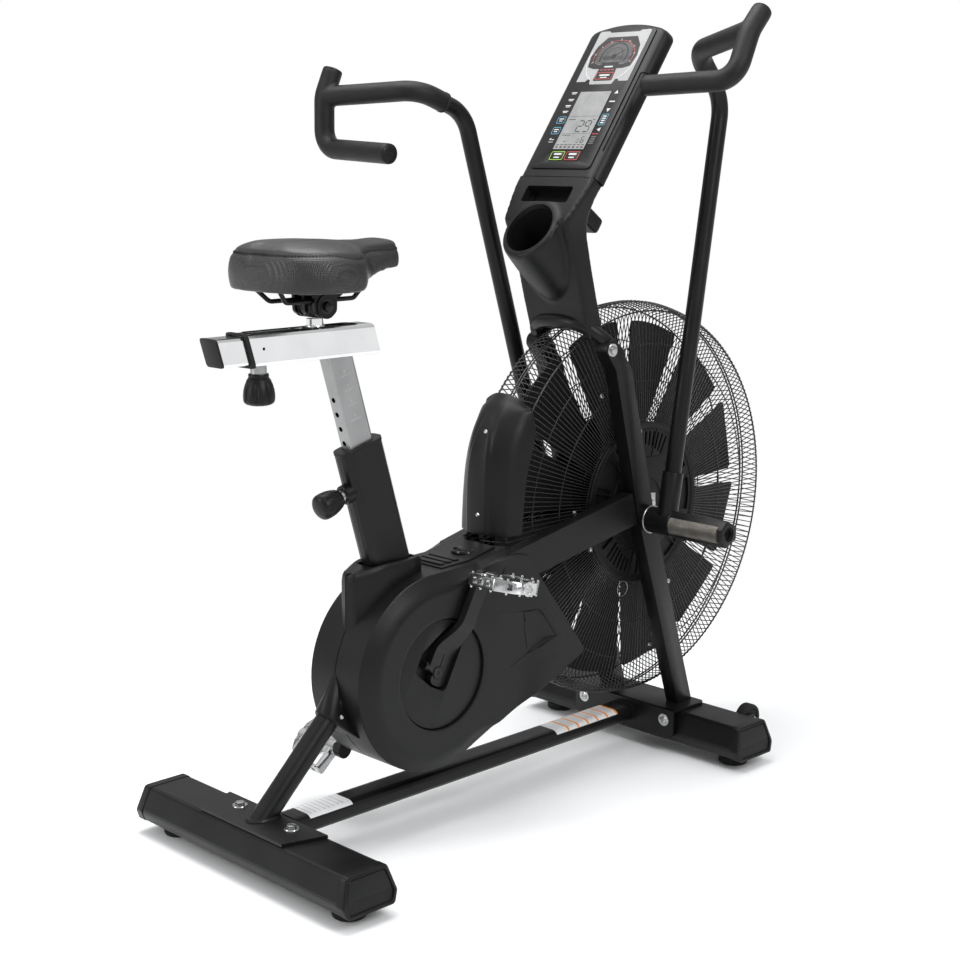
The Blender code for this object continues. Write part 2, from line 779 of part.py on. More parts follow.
def hub_plate(side_name, side, mats):
    """The round plate at the middle of a cage half, with slots round its edge."""
    rim = arc((FAN.x, FAN.z), HUB_PLATE_R, 0, 350, 36)
    bore = arc((FAN.x, FAN.z), 0.0068, 0, 330, 12)
    slots = []
    for i in range(9):
        first = 40 * i + 6
        outer = arc((FAN.x, FAN.z), 0.136, first, first + 28, 3)
        slots.append(outer + arc((FAN.x, FAN.z), 0.100, first + 28, first, 3))
    levels = sorted((side * (HUB_Y - 0.0022), side * HUB_Y))
    plate = outline_plate(f"hub_plate_{side_name}", rim, *levels, holes=(bore, *slots))
    return adopt(plate, mats["plastic"])


# ---- covers ----
def cover_outline():
    """Side view of a drive cover: round about the crank, with a wedge that reaches forward."""
    round_part = arc((CRANK.x, CRANK.z), COVER_R, 95, 294, 22)
    wedge = [(0.0700, 0.2335), (0.0860, 0.2430), (0.0850, 0.2540), (-0.0560, 0.4450), (-0.0680, 0.4560)]
    wedge += [(-0.0950, 0.4610), (-0.1700, 0.4450)]
    return subdivided(round_part + wedge)


def subdivided(points):
    """Add points along long sides, so that no side spans more than about 12 degrees of the crank."""
    finer = []
    for first, second in zip(points, points[1:] + points[:1]):
        one = Vector((first[0] - CRANK.x, first[1] - CRANK.z))
        two = Vector((second[0] - CRANK.x, second[1] - CRANK.z))
        parts = 1 + int(degrees(one.angle(two)) / 12)
        for i in range(parts):
            place = one.lerp(two, i / parts)
            finer.append((place.x + CRANK.x, place.y + CRANK.z))
    return finer


def toward_crank(point, inset):
    away = Vector((point[0] - CRANK.x, point[1] - CRANK.z))
    away *= 1 - inset / away.length
    return (CRANK.x + away.x, CRANK.z + away.y)


def cover_face_level(x, z):
    """How far out the flat side stands: it bulges near the wedge's top, over the end of the beam."""
    share = min(max((hypot(x - CRANK.x, z - CRANK.z) - 0.200) / 0.040, 0.0), 1.0)
    return COVER_FACE + 0.0085 * share


def cover_loops():
    """Outline loops from the seam at the middle out to the hole for the crank disc."""
    outline = cover_outline()
    loops = [[(x, z, 0.0005) for x, z in outline], [(x, z, COVER_HALF) for x, z in outline]]
    edge = []
    inner = []
    hole = []
    for x, z in outline:
        reach = hypot(x - CRANK.x, z - CRANK.z)
        inset = 0.0325 if reach < 0.1705 else 0.012
        ex, ez = toward_crank((x, z), inset)
        edge.append((ex, ez, cover_face_level(ex, ez)))
        mid_x, mid_z = toward_crank((x, z), max(reach - 0.200, inset + 0.004))
        inner.append((mid_x, mid_z, cover_face_level(mid_x, mid_z)))
        hx, hz = toward_crank((x, z), reach - DISC_R - 0.0020)
        hole.append((hx, hz, COVER_FACE))
    return loops + [edge, inner, hole]


def seat_tube_cutter():
    cutter = box("seat_cutter", (-0.0445, -0.0215, 0.05), (0.0445, 0.0215, 0.35))
    return placed(cutter, seat_frame(0.0))


def cover_cutters(side):
    """What the covers make way for: seat tube, strut, cage, beams and the inlaid top."""
    strut_end = Vector((REAR_X - 0.0100, 0.0, 0.070))
    direction = Vector((0.717, 0.0, 0.697))
    cutters = [seat_tube_cutter(), rod("strut_way", strut_end, strut_end + direction * 0.39, 0.0205, 20)]
    cutters.append(rod("cage_way", FAN - Vector((0, 0.0568, 0)), FAN + Vector((0, 0.0568, 0)), 0.3785, 64))
    way = outline_plate("beam_way", beam_outline(-0.140, 0.20, 0.0315), -0.0126, 0.0126)
    cutters.append(slant_beam(way, side))
    cutters.append(box("top_way", (-0.2360, -0.0455, 0.425), (-0.1095, 0.0455, 0.48)))
    return cutters


def cover(side_name, side, mats):
    bm = bmesh.new()
    grid = [[bm.verts.new((x, -level, z)) for x, z, level in loop] for loop in cover_loops()]
    for low, high in zip(grid, grid[1:]):
        for i in range(len(low)):
            j = (i + 1) % len(low)
            bm.faces.new((low[i], low[j], high[j], high[i]))
    bmesh.ops.recalc_face_normals(bm, faces=bm.faces)
    middle = CRANK - Vector((0, 0.03, 0))
    if sum(f.normal.dot(f.calc_center_median() - middle) * f.calc_area() for f in bm.faces) < 0:
        bmesh.ops.reverse_faces(bm, faces=bm.faces)
    obj = from_bmesh(f"cover_{side_name}", bm)
    step = obj.modifiers.new("Shell thickness", "SOLIDIFY")
    step.thickness = 0.0030
    step.offset = -1.0
    step.use_even_offset = True
    obj = mirrored(baked(obj), side)
    obj = cut(obj, *cover_cutters(side))
    return adopt(smooth(largest_piece(obj), 30), mats["plastic"])


def largest_piece(obj):
    """Drop the crumbs that a cut leaves behind."""
    bm = bmesh.new()
    bm.from_mesh(obj.data)
    left = set(bm.verts)
    islands = []
    while left:
        stack = [left.pop()]
        island = set(stack)
        while stack:
            for edge in stack.pop().link_edges:
                for vert in edge.verts:
                    if vert in left:
                        left.discard(vert)
                        island.add(vert)
                        stack.append(vert)
        islands.append(island)
    islands.sort(key=len)
    for island in islands[:-1]:
        bmesh.ops.delete(bm, geom=list(island), context="VERTS")
    bm.to_mesh(obj.data)
    bm.free()
    return obj


def cover_top(mats):
    """The inlay between the collar and the fan guard."""
    upper = [(-0.2355, 0.4452), (-0.1700, 0.4482), (-0.1100, 0.4615)]
    lower = [(x, z - 0.0040) for x, z in reversed(upper)]
    plate = outline_plate("cover_top", upper + lower, -0.0450, 0.0450)
    return adopt(smooth(plate), mats["plastic"])


def cover_collar(mats):
    """A boat-shaped collar round the foot of the seat sleeve, trimmed to sit on the covers."""
    half = [(-0.4080, 0.010), (-0.4020, 0.015), (-0.3600, 0.033), (-0.2900, 0.036), (-0.2640, 0.028)]
    outline = half + [(x, -y) for x, y in reversed(half)]
    body = outline_plate("cover_collar", outline, 0.395, 0.468, axis="Z")
    drum = rod("drum", CRANK - Vector((0, 0.2, 0)), CRANK + Vector((0, 0.2, 0)), COVER_R + 0.0006, 96)
    top_way = box("top", (-0.2362, -0.05, 0.38), (-0.2, 0.05, 0.4492))
    shelf = box("shelf", (-0.2950, -0.05, 0.38), (-0.2, 0.05, 0.4462))
    return adopt(smooth(cut(body, drum, seat_tube_cutter(), top_way, shelf)), mats["plastic"])


def fan_guard(mats):
    """The shield between the rider's knees and the rear of the cage: an open, rounded channel."""
    # Each row: height, nose, shoulder and front edge along X, and how far the front edge stands to the side.
    rows = [
        (0.4765, -0.1105, -0.0940, -0.0640, 0.0660),
        (0.5400, -0.1100, -0.0905, -0.0585, 0.0660),
        (0.5850, -0.1080, -0.0850, -0.0510, 0.0660),
        (0.6200, -0.1030, -0.0770, -0.0400, 0.0655),
        (0.6500, -0.0930, -0.0660, -0.0300, 0.0645),
        (0.6780, -0.0790, -0.0540, -0.0300, 0.0610),
        (0.7000, -0.0640, -0.0450, -0.0330, 0.0570),
        (0.7170, -0.0480, -0.0400, -0.0340, 0.0540),
    ]
    bm = bmesh.new()
    grid = []
    for z, nose, shoulder, front, half_front in rows:
        half = [(front, half_front), (shoulder, 0.82 * half_front), (nose + 0.0045, 0.46 * half_front)]
        half += [(nose, 0.23 * half_front)]
        line = half + [(x, -y) for x, y in reversed(half)]
        grid.append([bm.verts.new((x, y, z)) for x, y in line])
    for low, high in zip(grid, grid[1:]):
        for i in range(len(low) - 1):
            bm.faces.new((low[i], low[i + 1], high[i + 1], high[i]))
    bmesh.ops.recalc_face_normals(bm, faces=bm.faces)
    obj = from_bmesh("fan_guard", bm)
    centre = Vector((-0.06, 0.0, 0.58))
    if sum(p.normal.dot(p.center - centre) * p.area for p in obj.data.polygons) < 0:
        obj.data.flip_normals()
    step = obj.modifiers.new("Shell thickness", "SOLIDIFY")
    step.thickness = 0.0022
    step.offset = -1.0
    return adopt(smooth(baked(obj), 40), mats["plastic"])


# ---- seat ----
SLEEVE_TOP = 0.4075


def seat_sleeve(mats):
    """The oval seat tube, hollow, from the crank housing to the mouth that the post slides in."""
    outer = rounded_rectangle((0.0, 0.0), 0.085, 0.040, 0.0150, 4)
    inner = rounded_rectangle((0.0, 0.0), 0.0512, 0.0262, 0.0045, 3)
    tube = outline_plate("seat_sleeve", outer, 0.0255, SLEEVE_TOP, axis="Z", holes=(inner,))
    pin_way = rod("pin_way", (-0.05, 0, POST_KNOB_AT), (-0.02, 0, POST_KNOB_AT), 0.0048, 12)
    return adopt(smooth(placed(cut(tube, pin_way), seat_frame(0.0))), mats["powder"])


POST_TOP = 0.5560
POST_BOTTOM = 0.2200


def seat_post(mats):
    """The chrome post, with a row of pin holes up its rear face."""
    outline = rounded_rectangle((0.0, 0.0), 0.050, 0.025, 0.004, 3)
    inside = rounded_rectangle((0.0, 0.0), 0.045, 0.020, 0.002, 2)
    post = outline_plate("seat_post", outline, POST_BOTTOM, POST_TOP + 0.02, axis="Z", holes=(inside,))
    holes = [
        rod("hole", (-0.030, 0, along), (-0.015, 0, along), 0.0045, 12)
        for along in [POST_BOTTOM + 0.052 + 0.025 * i for i in range(10)]
    ]
    post = placed(cut(post, *holes), seat_frame(0.0))
    above = box("above", (-0.6, -0.1, SLIDER_BOTTOM - GAP), (-0.2, 0.1, SLIDER_BOTTOM + 0.2))
    return adopt(smooth(cut(post, above)), mats["chrome"])


def slanted_bar(name, rear_x, front_x, section, lean=0.29):
    """A bar along X whose two ends lean like the seat tube."""
    bar = outline_plate(name, section, rear_x, front_x, axis="X")
    for vert in bar.data.vertices:
        vert.co.x += (SLIDER_BOTTOM - vert.co.z) * lean
    return bar


def slider_tube(mats):
    """The chrome tube fixed on the post, open at the rear, with a slot along its top."""
    middle = (0.0, (SLIDER_TOP + SLIDER_BOTTOM) / 2)
    height = SLIDER_TOP - SLIDER_BOTTOM
    outer = rounded_rectangle(middle, 0.046, height, 0.006, 3)
    tube = slanted_bar("slider_tube", -0.5960, -0.3445, outer)
    bore = slanted_bar("bore", -0.62, -0.3490, rounded_rectangle(middle, 0.0412, height - 0.005, 0.003, 2))
    slot = box("slot", (-0.64, -0.0150, SLIDER_TOP - 0.010), (-0.3850, 0.0150, SLIDER_TOP + 0.01))
    pin_low = Vector((KNOB_X, 0, SLIDER_BOTTOM - 0.01))
    pin_way = rod("pin_way", pin_low, pin_low + Vector((0, 0, 0.018)), 0.0062, 14)
    return adopt(smooth(cut(tube, bore, slot, pin_way)), mats["chrome"])


KNOB_X = -0.5710


def slider_inner(mats):
    """The inner bar with its rear cap and the short chrome post that carries the saddle."""
    middle = (0.0, (SLIDER_TOP + SLIDER_BOTTOM) / 2)
    bar = slanted_bar("slider_inner", -0.6480, -0.4300, rounded_rectangle(middle, 0.0400, 0.0438, 0.005, 3))
    post = rod("post", (SADDLE_POST_X, 0, SLIDER_TOP - 0.020), (SADDLE_POST_X, 0, 0.8755), 0.0135, 24)
    return adopt(smooth(join(bar, post)), mats["chrome"], (SADDLE_POST_X, *middle))


SADDLE_PIVOT = Vector((SADDLE_POST_X, 0.0, 0.8955))


def saddle_clamp(mats):
    """A ribbed barrel on the saddle post with a cradle and two rails under the saddle."""
    half = Vector((0, 0.030, 0))
    barrel = rod("saddle_clamp", SADDLE_PIVOT - half, SADDLE_PIVOT + half, 0.0190, 24)
    cradle = box("cradle", (SADDLE_POST_X - 0.022, -0.024, 0.893), (SADDLE_POST_X + 0.022, 0.024, 0.9195))
    rails = []
    for y in (-0.020, 0.020):
        path = [(-0.548, y, 0.9190), (-0.530, y, 0.9050), (-0.400, y, 0.9050), (-0.375, y, 0.9190)]
        rails.append(pipe("rail", path, 0.0036, 2))
    return adopt(smooth(join(barrel, cradle, *rails)), mats["powder"], SADDLE_PIVOT)


def saddle(mats):
    """The padded saddle as a plain closed form: wide at the rear, with a short nose."""
    half = [(-0.5750, 0.045), (-0.5600, 0.090), (-0.5250, 0.117), (-0.4800, 0.121), (-0.4450, 0.110)]
    half += [(-0.4200, 0.078), (-0.3900, 0.048), (-0.3400, 0.038), (-0.3100, 0.033), (-0.3000, 0.018)]
    outline = half + [(x, -y) for x, y in reversed(half)]
    pad = outline_plate("saddle", outline, 0.9240, 0.9900, axis="Z")
    return adopt(smooth(baked(bevel(pad, 0.014, 2, 50))), mats["vinyl"], SADDLE_PIVOT)


def knob_profile(length, radius, shank, reach, pin, pin_reach):
    """A knob along its own axis: grip, shank and the pin at the far end."""
    return [
        (0.0, length),
        (0.75 * radius, length),
        (0.95 * radius, 0.88 * length),
        (radius, 0.70 * length),
        (0.80 * radius, 0.12 * length),
        (0.60 * radius, 0.0),
        (shank, 0.0),
        (shank, -reach),
        (pin, -reach),
        (pin, -reach - pin_reach),
        (0.0, -reach - pin_reach),
    ]


POST_KNOB_AT = 0.3420


def post_knob(mats):
    """The spring pin knob behind the seat sleeve."""
    start = 0.0428
    profile = knob_profile(0.046, 0.0215, 0.0105, 0.0175, 0.0040, 0.0150)
    knob = turned("post_knob", profile, (0, 0, 0), "Z", 16)
    rear = seat_point(POST_KNOB_AT, start + 0.0180)
    turn = (seat_point(0, 1) - CRANK).to_track_quat("Z", "Y").to_matrix().to_4x4()
    return adopt(smooth(placed(knob, Matrix.Translation(rear) @ turn)), mats["plastic"], rear)


def slider_knob(mats):
    """The spring pin knob under the rear of the slider tube."""
    profile = knob_profile(0.044, 0.0245, 0.0127, 0.0180, 0.0050, 0.0024)
    knob = turned("slider_knob", profile, (0, 0, 0), "Z", 16)
    top = Vector((KNOB_X, 0.0, SLIDER_BOTTOM - GAP - 0.0180))
    placed(knob, Matrix.Translation(top) @ Matrix.Rotation(pi, 4, "X"))
    return adopt(smooth(knob), mats["plastic"], top)


# ---- console ----
def console_point(up, out=0.0, across=0.0):
    """A point of the console's tilted face: up along it, out from it and across it."""
    along = Vector((sin(CONSOLE_LEAN), 0.0, cos(CONSOLE_LEAN)))
    normal = Vector((-cos(CONSOLE_LEAN), 0.0, sin(CONSOLE_LEAN)))
    return CONSOLE_LOW + along * up + normal * out + Vector((0, across, 0))


def console_frame():
    """Local X across to the rider's right, local Y up the face, local Z out of it."""
    along = console_point(1.0) - CONSOLE_LOW
    normal = console_point(0.0, 1.0) - CONSOLE_LOW
    across = along.cross(normal)
    columns = Matrix((across, along, normal)).transposed().to_4x4()
    return Matrix.Translation(CONSOLE_LOW) @ columns


CUP_AXIS = Vector((0.55, 0.0, -0.835)).normalized()
CUP_HEIGHT = -0.1085
CUP_DEPTH = 0.090
# Each ring of the cup: depth along its axis, half its width across and half its width along the face.
CUP_OUTSIDE = [
    (-0.002, 0.0575, 0.0575),
    (0.003, 0.0590, 0.0590),
    (0.050, 0.0580, 0.0480),
    (0.100, 0.0500, 0.0360),
    (0.135, 0.0300, 0.0240),
]
CUP_INSIDE = [
    (-0.060, 0.0485, 0.0485),
    (0.0, 0.0485, 0.0485),
    (0.050, 0.0470, 0.0410),
    (CUP_DEPTH, 0.0400, 0.0310),
]


def console_housing(mats):
    half = CONSOLE_HALF
    outline = [(-half, 0.0005), (half, 0.0005)]
    shoulder = CONSOLE_LENGTH - 0.032
    outline += arc((half - 0.020, shoulder), 0.020, 0, 75, 4)
    outline += [(0.030, CONSOLE_LENGTH - 0.001), (-0.030, CONSOLE_LENGTH - 0.001)]
    outline += arc((-half + 0.020, shoulder), 0.020, 105, 180, 4)
    body = outline_plate("console_housing", outline, -CONSOLE_THICK, -0.0002, axis="Z")
    body = baked(bevel(body, 0.010, 3, 40))
    return adopt(smooth(placed(body, console_frame())), mats["plastic"])


KEY_HEIGHT = 0.0420
KEY_SIZE = (0.0335, 0.0200)
KEYS = {"start_key": -0.0178, "stop_key": 0.0178}


def console_overlay(mats):
    """The printed face plate, with two windows for the keys."""
    outline = rounded_rectangle((0.0, 0.166), 0.142, 0.300, 0.008, 3)
    wide, tall = KEY_SIZE
    holes = [
        rounded_rectangle((x, KEY_HEIGHT), wide + 0.0012, tall + 0.0012, 0.003, 2) for x in KEYS.values()
    ]
    plate = outline_plate("console_overlay", outline, 0.0002, 0.0018, axis="Z", holes=holes)
    return adopt(placed(plate, console_frame()), mats["overlay"])


def console_key(name, mats):
    outline = rounded_rectangle((KEYS[name], KEY_HEIGHT), *KEY_SIZE, 0.003, 2)
    key = outline_plate(name, outline, 0.0012, 0.0026, axis="Z")
    centre = console_point(KEY_HEIGHT, 0.0012, -KEYS[name])
    return adopt(placed(key, console_frame()), mats["plastic"], centre)


def cup_body(name, rings, sides=32):
    """A closed loft through ellipses that stay parallel to the console's face."""
    bm = bmesh.new()
    grid = []
    for depth, half_across, half_along in rings:
        middle = console_point(CUP_HEIGHT) + CUP_AXIS * depth
        row = []
        for i in range(sides):
            turn = 2 * pi * i / sides
            edge = console_point(half_along * sin(turn), 0.0, half_across * cos(turn)) - CONSOLE_LOW
            row.append(bm.verts.new(middle + edge))
        grid.append(row)
    for low, high in zip(grid, grid[1:]):
        for i in range(sides):
            j = (i + 1) % sides
            bm.faces.new((low[i], low[j], high[j], high[i]))
    bm.faces.new(grid[0])
    bm.faces.new(grid[-1])
    bmesh.ops.recalc_face_normals(bm, faces=bm.faces)
    return from_bmesh(name, bm)


def mast_outline():
    """The mast's side view, from the hoop up to the seam under the console."""
    front = [(0.0980, 0.8020), (0.1370, 0.8020), (0.1150, 0.8770), (0.1020, 0.9260)]
    front += [(0.0880, 0.9850), (0.0870, 1.0200), (0.0950, 1.0480)]
    seam = [console_point(-0.0005, 0.0005 - CONSOLE_THICK), console_point(-0.0005)]
    face = [console_point(-0.0900)]
    rear = [(0.0335, 0.9950), (0.0480, 0.9600), (0.0625, 0.9240), (0.0775, 0.8690)]
    return front + [(p.x, p.z) for p in seam + face] + rear


def console_mast(mats):
    """The mast from the hoop to the console, with a cup holder, a tray slot and a block at its back."""
    mast = outline_plate("console_mast", mast_outline(), -CONSOLE_HALF, CONSOLE_HALF)
    for vert in mast.data.vertices:
        share = min(max((CONSOLE_LOW.z - vert.co.z) / 0.090, 0.0), 1.0)
        vert.co.y *= 1 - share * (1 - MAST_HALF / CONSOLE_HALF)
    mast = baked(bevel(mast, 0.009, 2, 40))
    block = placed(box("block", (-0.030, -0.036, -0.126), (0.030, -0.006, -0.020)), console_frame())
    tray = placed(box("tray", (-0.055, -0.053, -0.024), (0.055, -0.020, 0.02)), console_frame())
    cage_way = rod("cage_way", FAN - Vector((0, 0.0575, 0)), FAN + Vector((0, 0.0575, 0)), 0.3778, 64)
    hoop_legs = [(0.16, side * UPRIGHT_Y, 0.74) for side in (LEFT, RIGHT)]
    hoop_way = pipe("hoop_way", [hoop_legs[0], *hoop_points(), hoop_legs[1]], HOOP_R + FIT)
    mast = join(mast, cup_body("cup", CUP_OUTSIDE), block)
    mast = cut(mast, cup_body("hollow", CUP_INSIDE), tray, cage_way, hoop_way)
    return adopt(smooth(largest_piece(mast)), mats["plastic"])


# ---- swinging arms ----
ARM_R = 0.0150
GRIP_R = 0.0180
ARM_KNEE = (-0.0520, 0.149, 0.7600)
ARM_ELBOW = (-0.1450, 0.152, 0.8210)
JUNCTION = (-0.2195, 0.3180, 0.8290)
STUB_TOP = (-0.1926, 0.3141, 0.8688)
BAR_LOW = (-0.2400, 0.3200, 0.7420)
GRIP_END = (-0.2475, 0.1400, 0.7345)


def arm_path():
    """Hub to C-bar at the middle of the swing, for the left side, from the pivot."""
    corners = [(-0.0045, 0.1480, 0.020), ARM_KNEE, ARM_ELBOW, JUNCTION]
    return rounded_path(corners, (0.070, 0.048), 7)


def swing_matrix(side):
    """The swing at which the arms stand: the right one forward and the left one back."""
    angle = ARM_SWING if side == RIGHT else -ARM_SWING
    flip = Matrix.Diagonal((1, side, 1, 1))
    return Matrix.Translation(PIVOT) @ Matrix.Rotation(angle, 4, "Y") @ flip


def arm_piece(obj, side):
    obj.data.transform(swing_matrix(side))
    if side == RIGHT:
        obj.data.flip_normals()
    return obj


def split_arm_path():
    """The bare tube ends just past the knee, and the covered part begins there."""
    path = arm_path()
    seam = path[8].lerp(path[9], 0.4)
    ahead = (path[9] - path[8]).normalized()
    return [*path[:9], seam], [seam + ahead * GAP, *path[9:]]


def swing_arm(side_name, side, mats):
    tube = pipe("tube", split_arm_path()[0], ARM_R, 3)
    hub_profile = [(0.0240, 0.1660), (0.0240, 0.1128), (0.0104, 0.1128), (0.0104, 0.1660)]
    hub = turned(f"arm_{side_name}", hub_profile, (0, 0, 0), steps=28, closed=True)
    socket = rod("socket", (-0.0040, 0.1475, 0.012), (-0.0098, 0.149, 0.092), 0.0185, 20)
    bore = rod("bore", (0, 0.10, 0), (0, 0.18, 0), 0.0104, 28)
    arm = cut(join(hub, tube, socket), bore)
    return adopt(smooth(arm_piece(arm, side), 40), mats["powder"], PIVOT)


def swing_handle(side_name, side, mats):
    bar = pipe(f"handle_{side_name}", split_arm_path()[1], GRIP_R, 3)
    path = rounded_path([STUB_TOP, JUNCTION, BAR_LOW, GRIP_END], (0.060, 0.034), 6)
    grip = pipe("c_bar", path, GRIP_R, 3)
    return adopt(smooth(arm_piece(join(bar, grip), side), 50), mats["foam"], PIVOT)


# ---- assembly ----
def centre_on_floor():
    """Shift every piece along X, so that the origin is under the middle of the bounding box."""
    bpy.context.view_layer.update()
    places = [(obj.matrix_world @ vert.co).x for obj in PARTS.objects for vert in obj.data.vertices]
    for obj in PARTS.objects:
        obj.location.x -= (min(places) + max(places)) / 2


def build():
    global PARTS, HELPERS
    clear_scene()
    PARTS = make_collection("Air bike")
    HELPERS = make_collection("Cutters")
    mats = make_materials()
    adopt(smooth(stabiliser("rear_stabiliser", REAR_X)), mats["powder"])
    front_stabiliser(mats)
    for side_name, side in SIDES.items():
        transport_wheel(side_name, side, mats)
        foot("rear", REAR_X, side_name, side, mats)
        foot("front", FRONT_X, side_name, side, mats)
        upright(side_name, side, mats)
        beam(side_name, side, mats)
        pivot_boss(side_name, side, mats)
        foot_peg(side_name, side, mats)
        crank_arm(side_name, side, mats)
        crank_disc(side_name, side, mats)
        pedal(side_name, side, mats)
        cage_half(side_name, side, mats)
        hub_plate(side_name, side, mats)
        cover(side_name, side, mats)
        swing_arm(side_name, side, mats)
        swing_handle(side_name, side, mats)
    for make in (base_bar, rear_strut, front_bracket, frame_hoop, frame_spine, crank_housing):
        make(mats)
    for make in (crank_axle, drive_belt, fan_axle, fan_rotor, cover_top, cover_collar, fan_guard):
        make(mats)
    pulley("crank_pulley", CRANK, CRANK_PULLEY_R, 0.0103, mats, windows=5)
    pulley("fan_pulley", FAN, FAN_PULLEY_R, 0.0063, mats)
    for make in (seat_sleeve, seat_post, slider_tube, slider_inner, saddle_clamp, saddle):
        make(mats)
    for make in (post_knob, slider_knob, console_housing, console_overlay, console_mast):
        make(mats)
    for name in KEYS:
        console_key(name, mats)
    centre_on_floor()


build()
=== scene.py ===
"""Looks of the air bike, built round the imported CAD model. Blender 4.5, metres, +X forward, +Z up.

Shapes are worked out in the design's own frame, the one that its dimensions below are given in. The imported
model stands a little further along X, so every finished piece is shifted by SHIFT as it is placed.
"""

import json

from math import acos, cos, hypot, pi, radians, sin

import bmesh
import bpy
from mathutils import Matrix, Vector
from mathutils.bvhtree import BVHTree


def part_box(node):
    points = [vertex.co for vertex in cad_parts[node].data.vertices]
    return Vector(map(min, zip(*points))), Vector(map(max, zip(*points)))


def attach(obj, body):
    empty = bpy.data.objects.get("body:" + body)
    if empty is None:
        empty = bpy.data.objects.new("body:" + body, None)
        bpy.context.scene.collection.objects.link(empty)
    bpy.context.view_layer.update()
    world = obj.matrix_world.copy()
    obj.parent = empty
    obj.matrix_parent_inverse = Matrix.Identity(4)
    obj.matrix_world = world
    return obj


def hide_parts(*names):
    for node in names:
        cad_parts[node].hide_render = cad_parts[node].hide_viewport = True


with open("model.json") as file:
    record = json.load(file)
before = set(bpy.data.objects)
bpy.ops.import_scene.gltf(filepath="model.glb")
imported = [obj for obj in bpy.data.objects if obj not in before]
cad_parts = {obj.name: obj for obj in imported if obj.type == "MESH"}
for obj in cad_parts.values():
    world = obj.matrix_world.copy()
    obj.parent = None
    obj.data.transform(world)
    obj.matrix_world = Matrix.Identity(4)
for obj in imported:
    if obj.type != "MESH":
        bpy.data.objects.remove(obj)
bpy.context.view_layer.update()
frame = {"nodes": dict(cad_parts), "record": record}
RIGHT, LEFT = -1, 1
SIDES = {"right": RIGHT, "left": LEFT}

# ---- driving dimensions of the design ----
REAR_X = -0.5925
FRONT_X = 0.3475
STAB_TOP = 0.083
STAB_BOTTOM = 0.022
CRANK = Vector((-0.2635, 0.0, 0.2722))
CRANK_R = 0.175
CRANK_ANGLE = radians(28.5)
SEAT_LEAN = radians(16.1)
FAN = Vector((0.2708, 0.0, 0.4848))
PIVOT = Vector((0.23, 0.0, 0.467))
UPRIGHT_Y = 0.085
HOOP_X = 0.16
ARM_SWING = radians(13.3)
COVER_R = 0.17
COVER_HALF = 0.0638
COVER_FACE = 0.078
DISC_R = 0.093
CONSOLE_LOW = Vector((0.0825, 0.0, 1.0857))
CONSOLE_LEAN = radians(35.9)
CONSOLE_HALF = 0.093
CONSOLE_LENGTH = 0.334
SLIDER_TOP = 0.862
SLIDER_BOTTOM = 0.812
SADDLE_X = -0.46
KNOB_X = -0.571
WHEEL_X = FRONT_X + 0.063
WHEEL_Y = 0.205
WHEEL_Z = 0.067
PLATE_TOP = STAB_TOP + 0.0053

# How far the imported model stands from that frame.
STAB_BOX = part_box("rear_stabiliser")
SHIFT = Matrix.Translation(((STAB_BOX[0].x + STAB_BOX[1].x) / 2 - REAR_X, 0.0, 0.0))


# ---- materials ----
RELIEF_DEPTH = 0.0004


def new_material(name):
    mat = bpy.data.materials.new(name)
    mat.use_nodes = True
    return mat, mat.node_tree.nodes, mat.node_tree.links


def add_node(nodes, kind, **values):
    """A new shader node with some inputs set; an underscore in a keyword stands for a space."""
    node = nodes.new("ShaderNode" + kind)
    for key, value in values.items():
        node.inputs[key.replace("_", " ")].default_value = value
    return node


def ranged(nodes, links, value, low, high, start=0.3, end=0.7):
    """A texture value stretched to run between two numbers."""
    node = add_node(nodes, "MapRange", From_Min=start, From_Max=end, To_Min=low, To_Max=high)
    links.new(value, node.inputs["Value"])
    return node.outputs["Result"]


def tone(value):
    """A colour as three channels; a single number is a grey that leans a little to blue."""
    return value if isinstance(value, tuple) else (value, value * 1.01, value * 1.02)


def add_tones(nodes, links, factor, dark, light):
    """A base colour that changes slowly from one tone to another."""
    mix = nodes.new("ShaderNodeMix")
    mix.data_type = "RGBA"
    mix.inputs["A"].default_value = (*tone(dark), 1.0)
    mix.inputs["B"].default_value = (*tone(light), 1.0)
    links.new(ranged(nodes, links, factor, 0.0, 1.0), mix.inputs["Factor"])
    links.new(mix.outputs["Result"], nodes["Principled BSDF"].inputs["Base Color"])


def add_relief(nodes, links, height, strength):
    """A fine bump on the finish, from a height."""
    bump = add_node(nodes, "Bump", Strength=strength, Distance=RELIEF_DEPTH)
    links.new(height, bump.inputs["Height"])
    links.new(bump.outputs["Normal"], nodes["Principled BSDF"].inputs["Normal"])


def surface(name, dark, light, rough, grain, depth, metallic=0.0, mottle=9.0, specular=0.5, pattern="noise"):
    """A finish with a slow change of tone and roughness, and a fine grain in its relief."""
    mat, nodes, links = new_material(name)
    shader = nodes["Principled BSDF"]
    shader.inputs["Metallic"].default_value = metallic
    shader.inputs["Specular IOR Level"].default_value = specular
    coords = nodes.new("ShaderNodeTexCoord").outputs["Object"]
    slow = add_node(nodes, "TexNoise", Scale=mottle, Detail=4.0)
    if pattern == "cells":
        fine = add_node(nodes, "TexVoronoi", Scale=grain)
        height = fine.outputs["Distance"]
    else:
        fine = add_node(nodes, "TexNoise", Scale=grain, Detail=3.0)
        height = fine.outputs["Fac"]
    for texture in (slow, fine):
        links.new(coords, texture.inputs["Vector"])
    add_tones(nodes, links, slow.outputs["Fac"], dark, light)
    links.new(ranged(nodes, links, slow.outputs["Fac"], *rough), shader.inputs["Roughness"])
    add_relief(nodes, links, height, depth)
    return mat


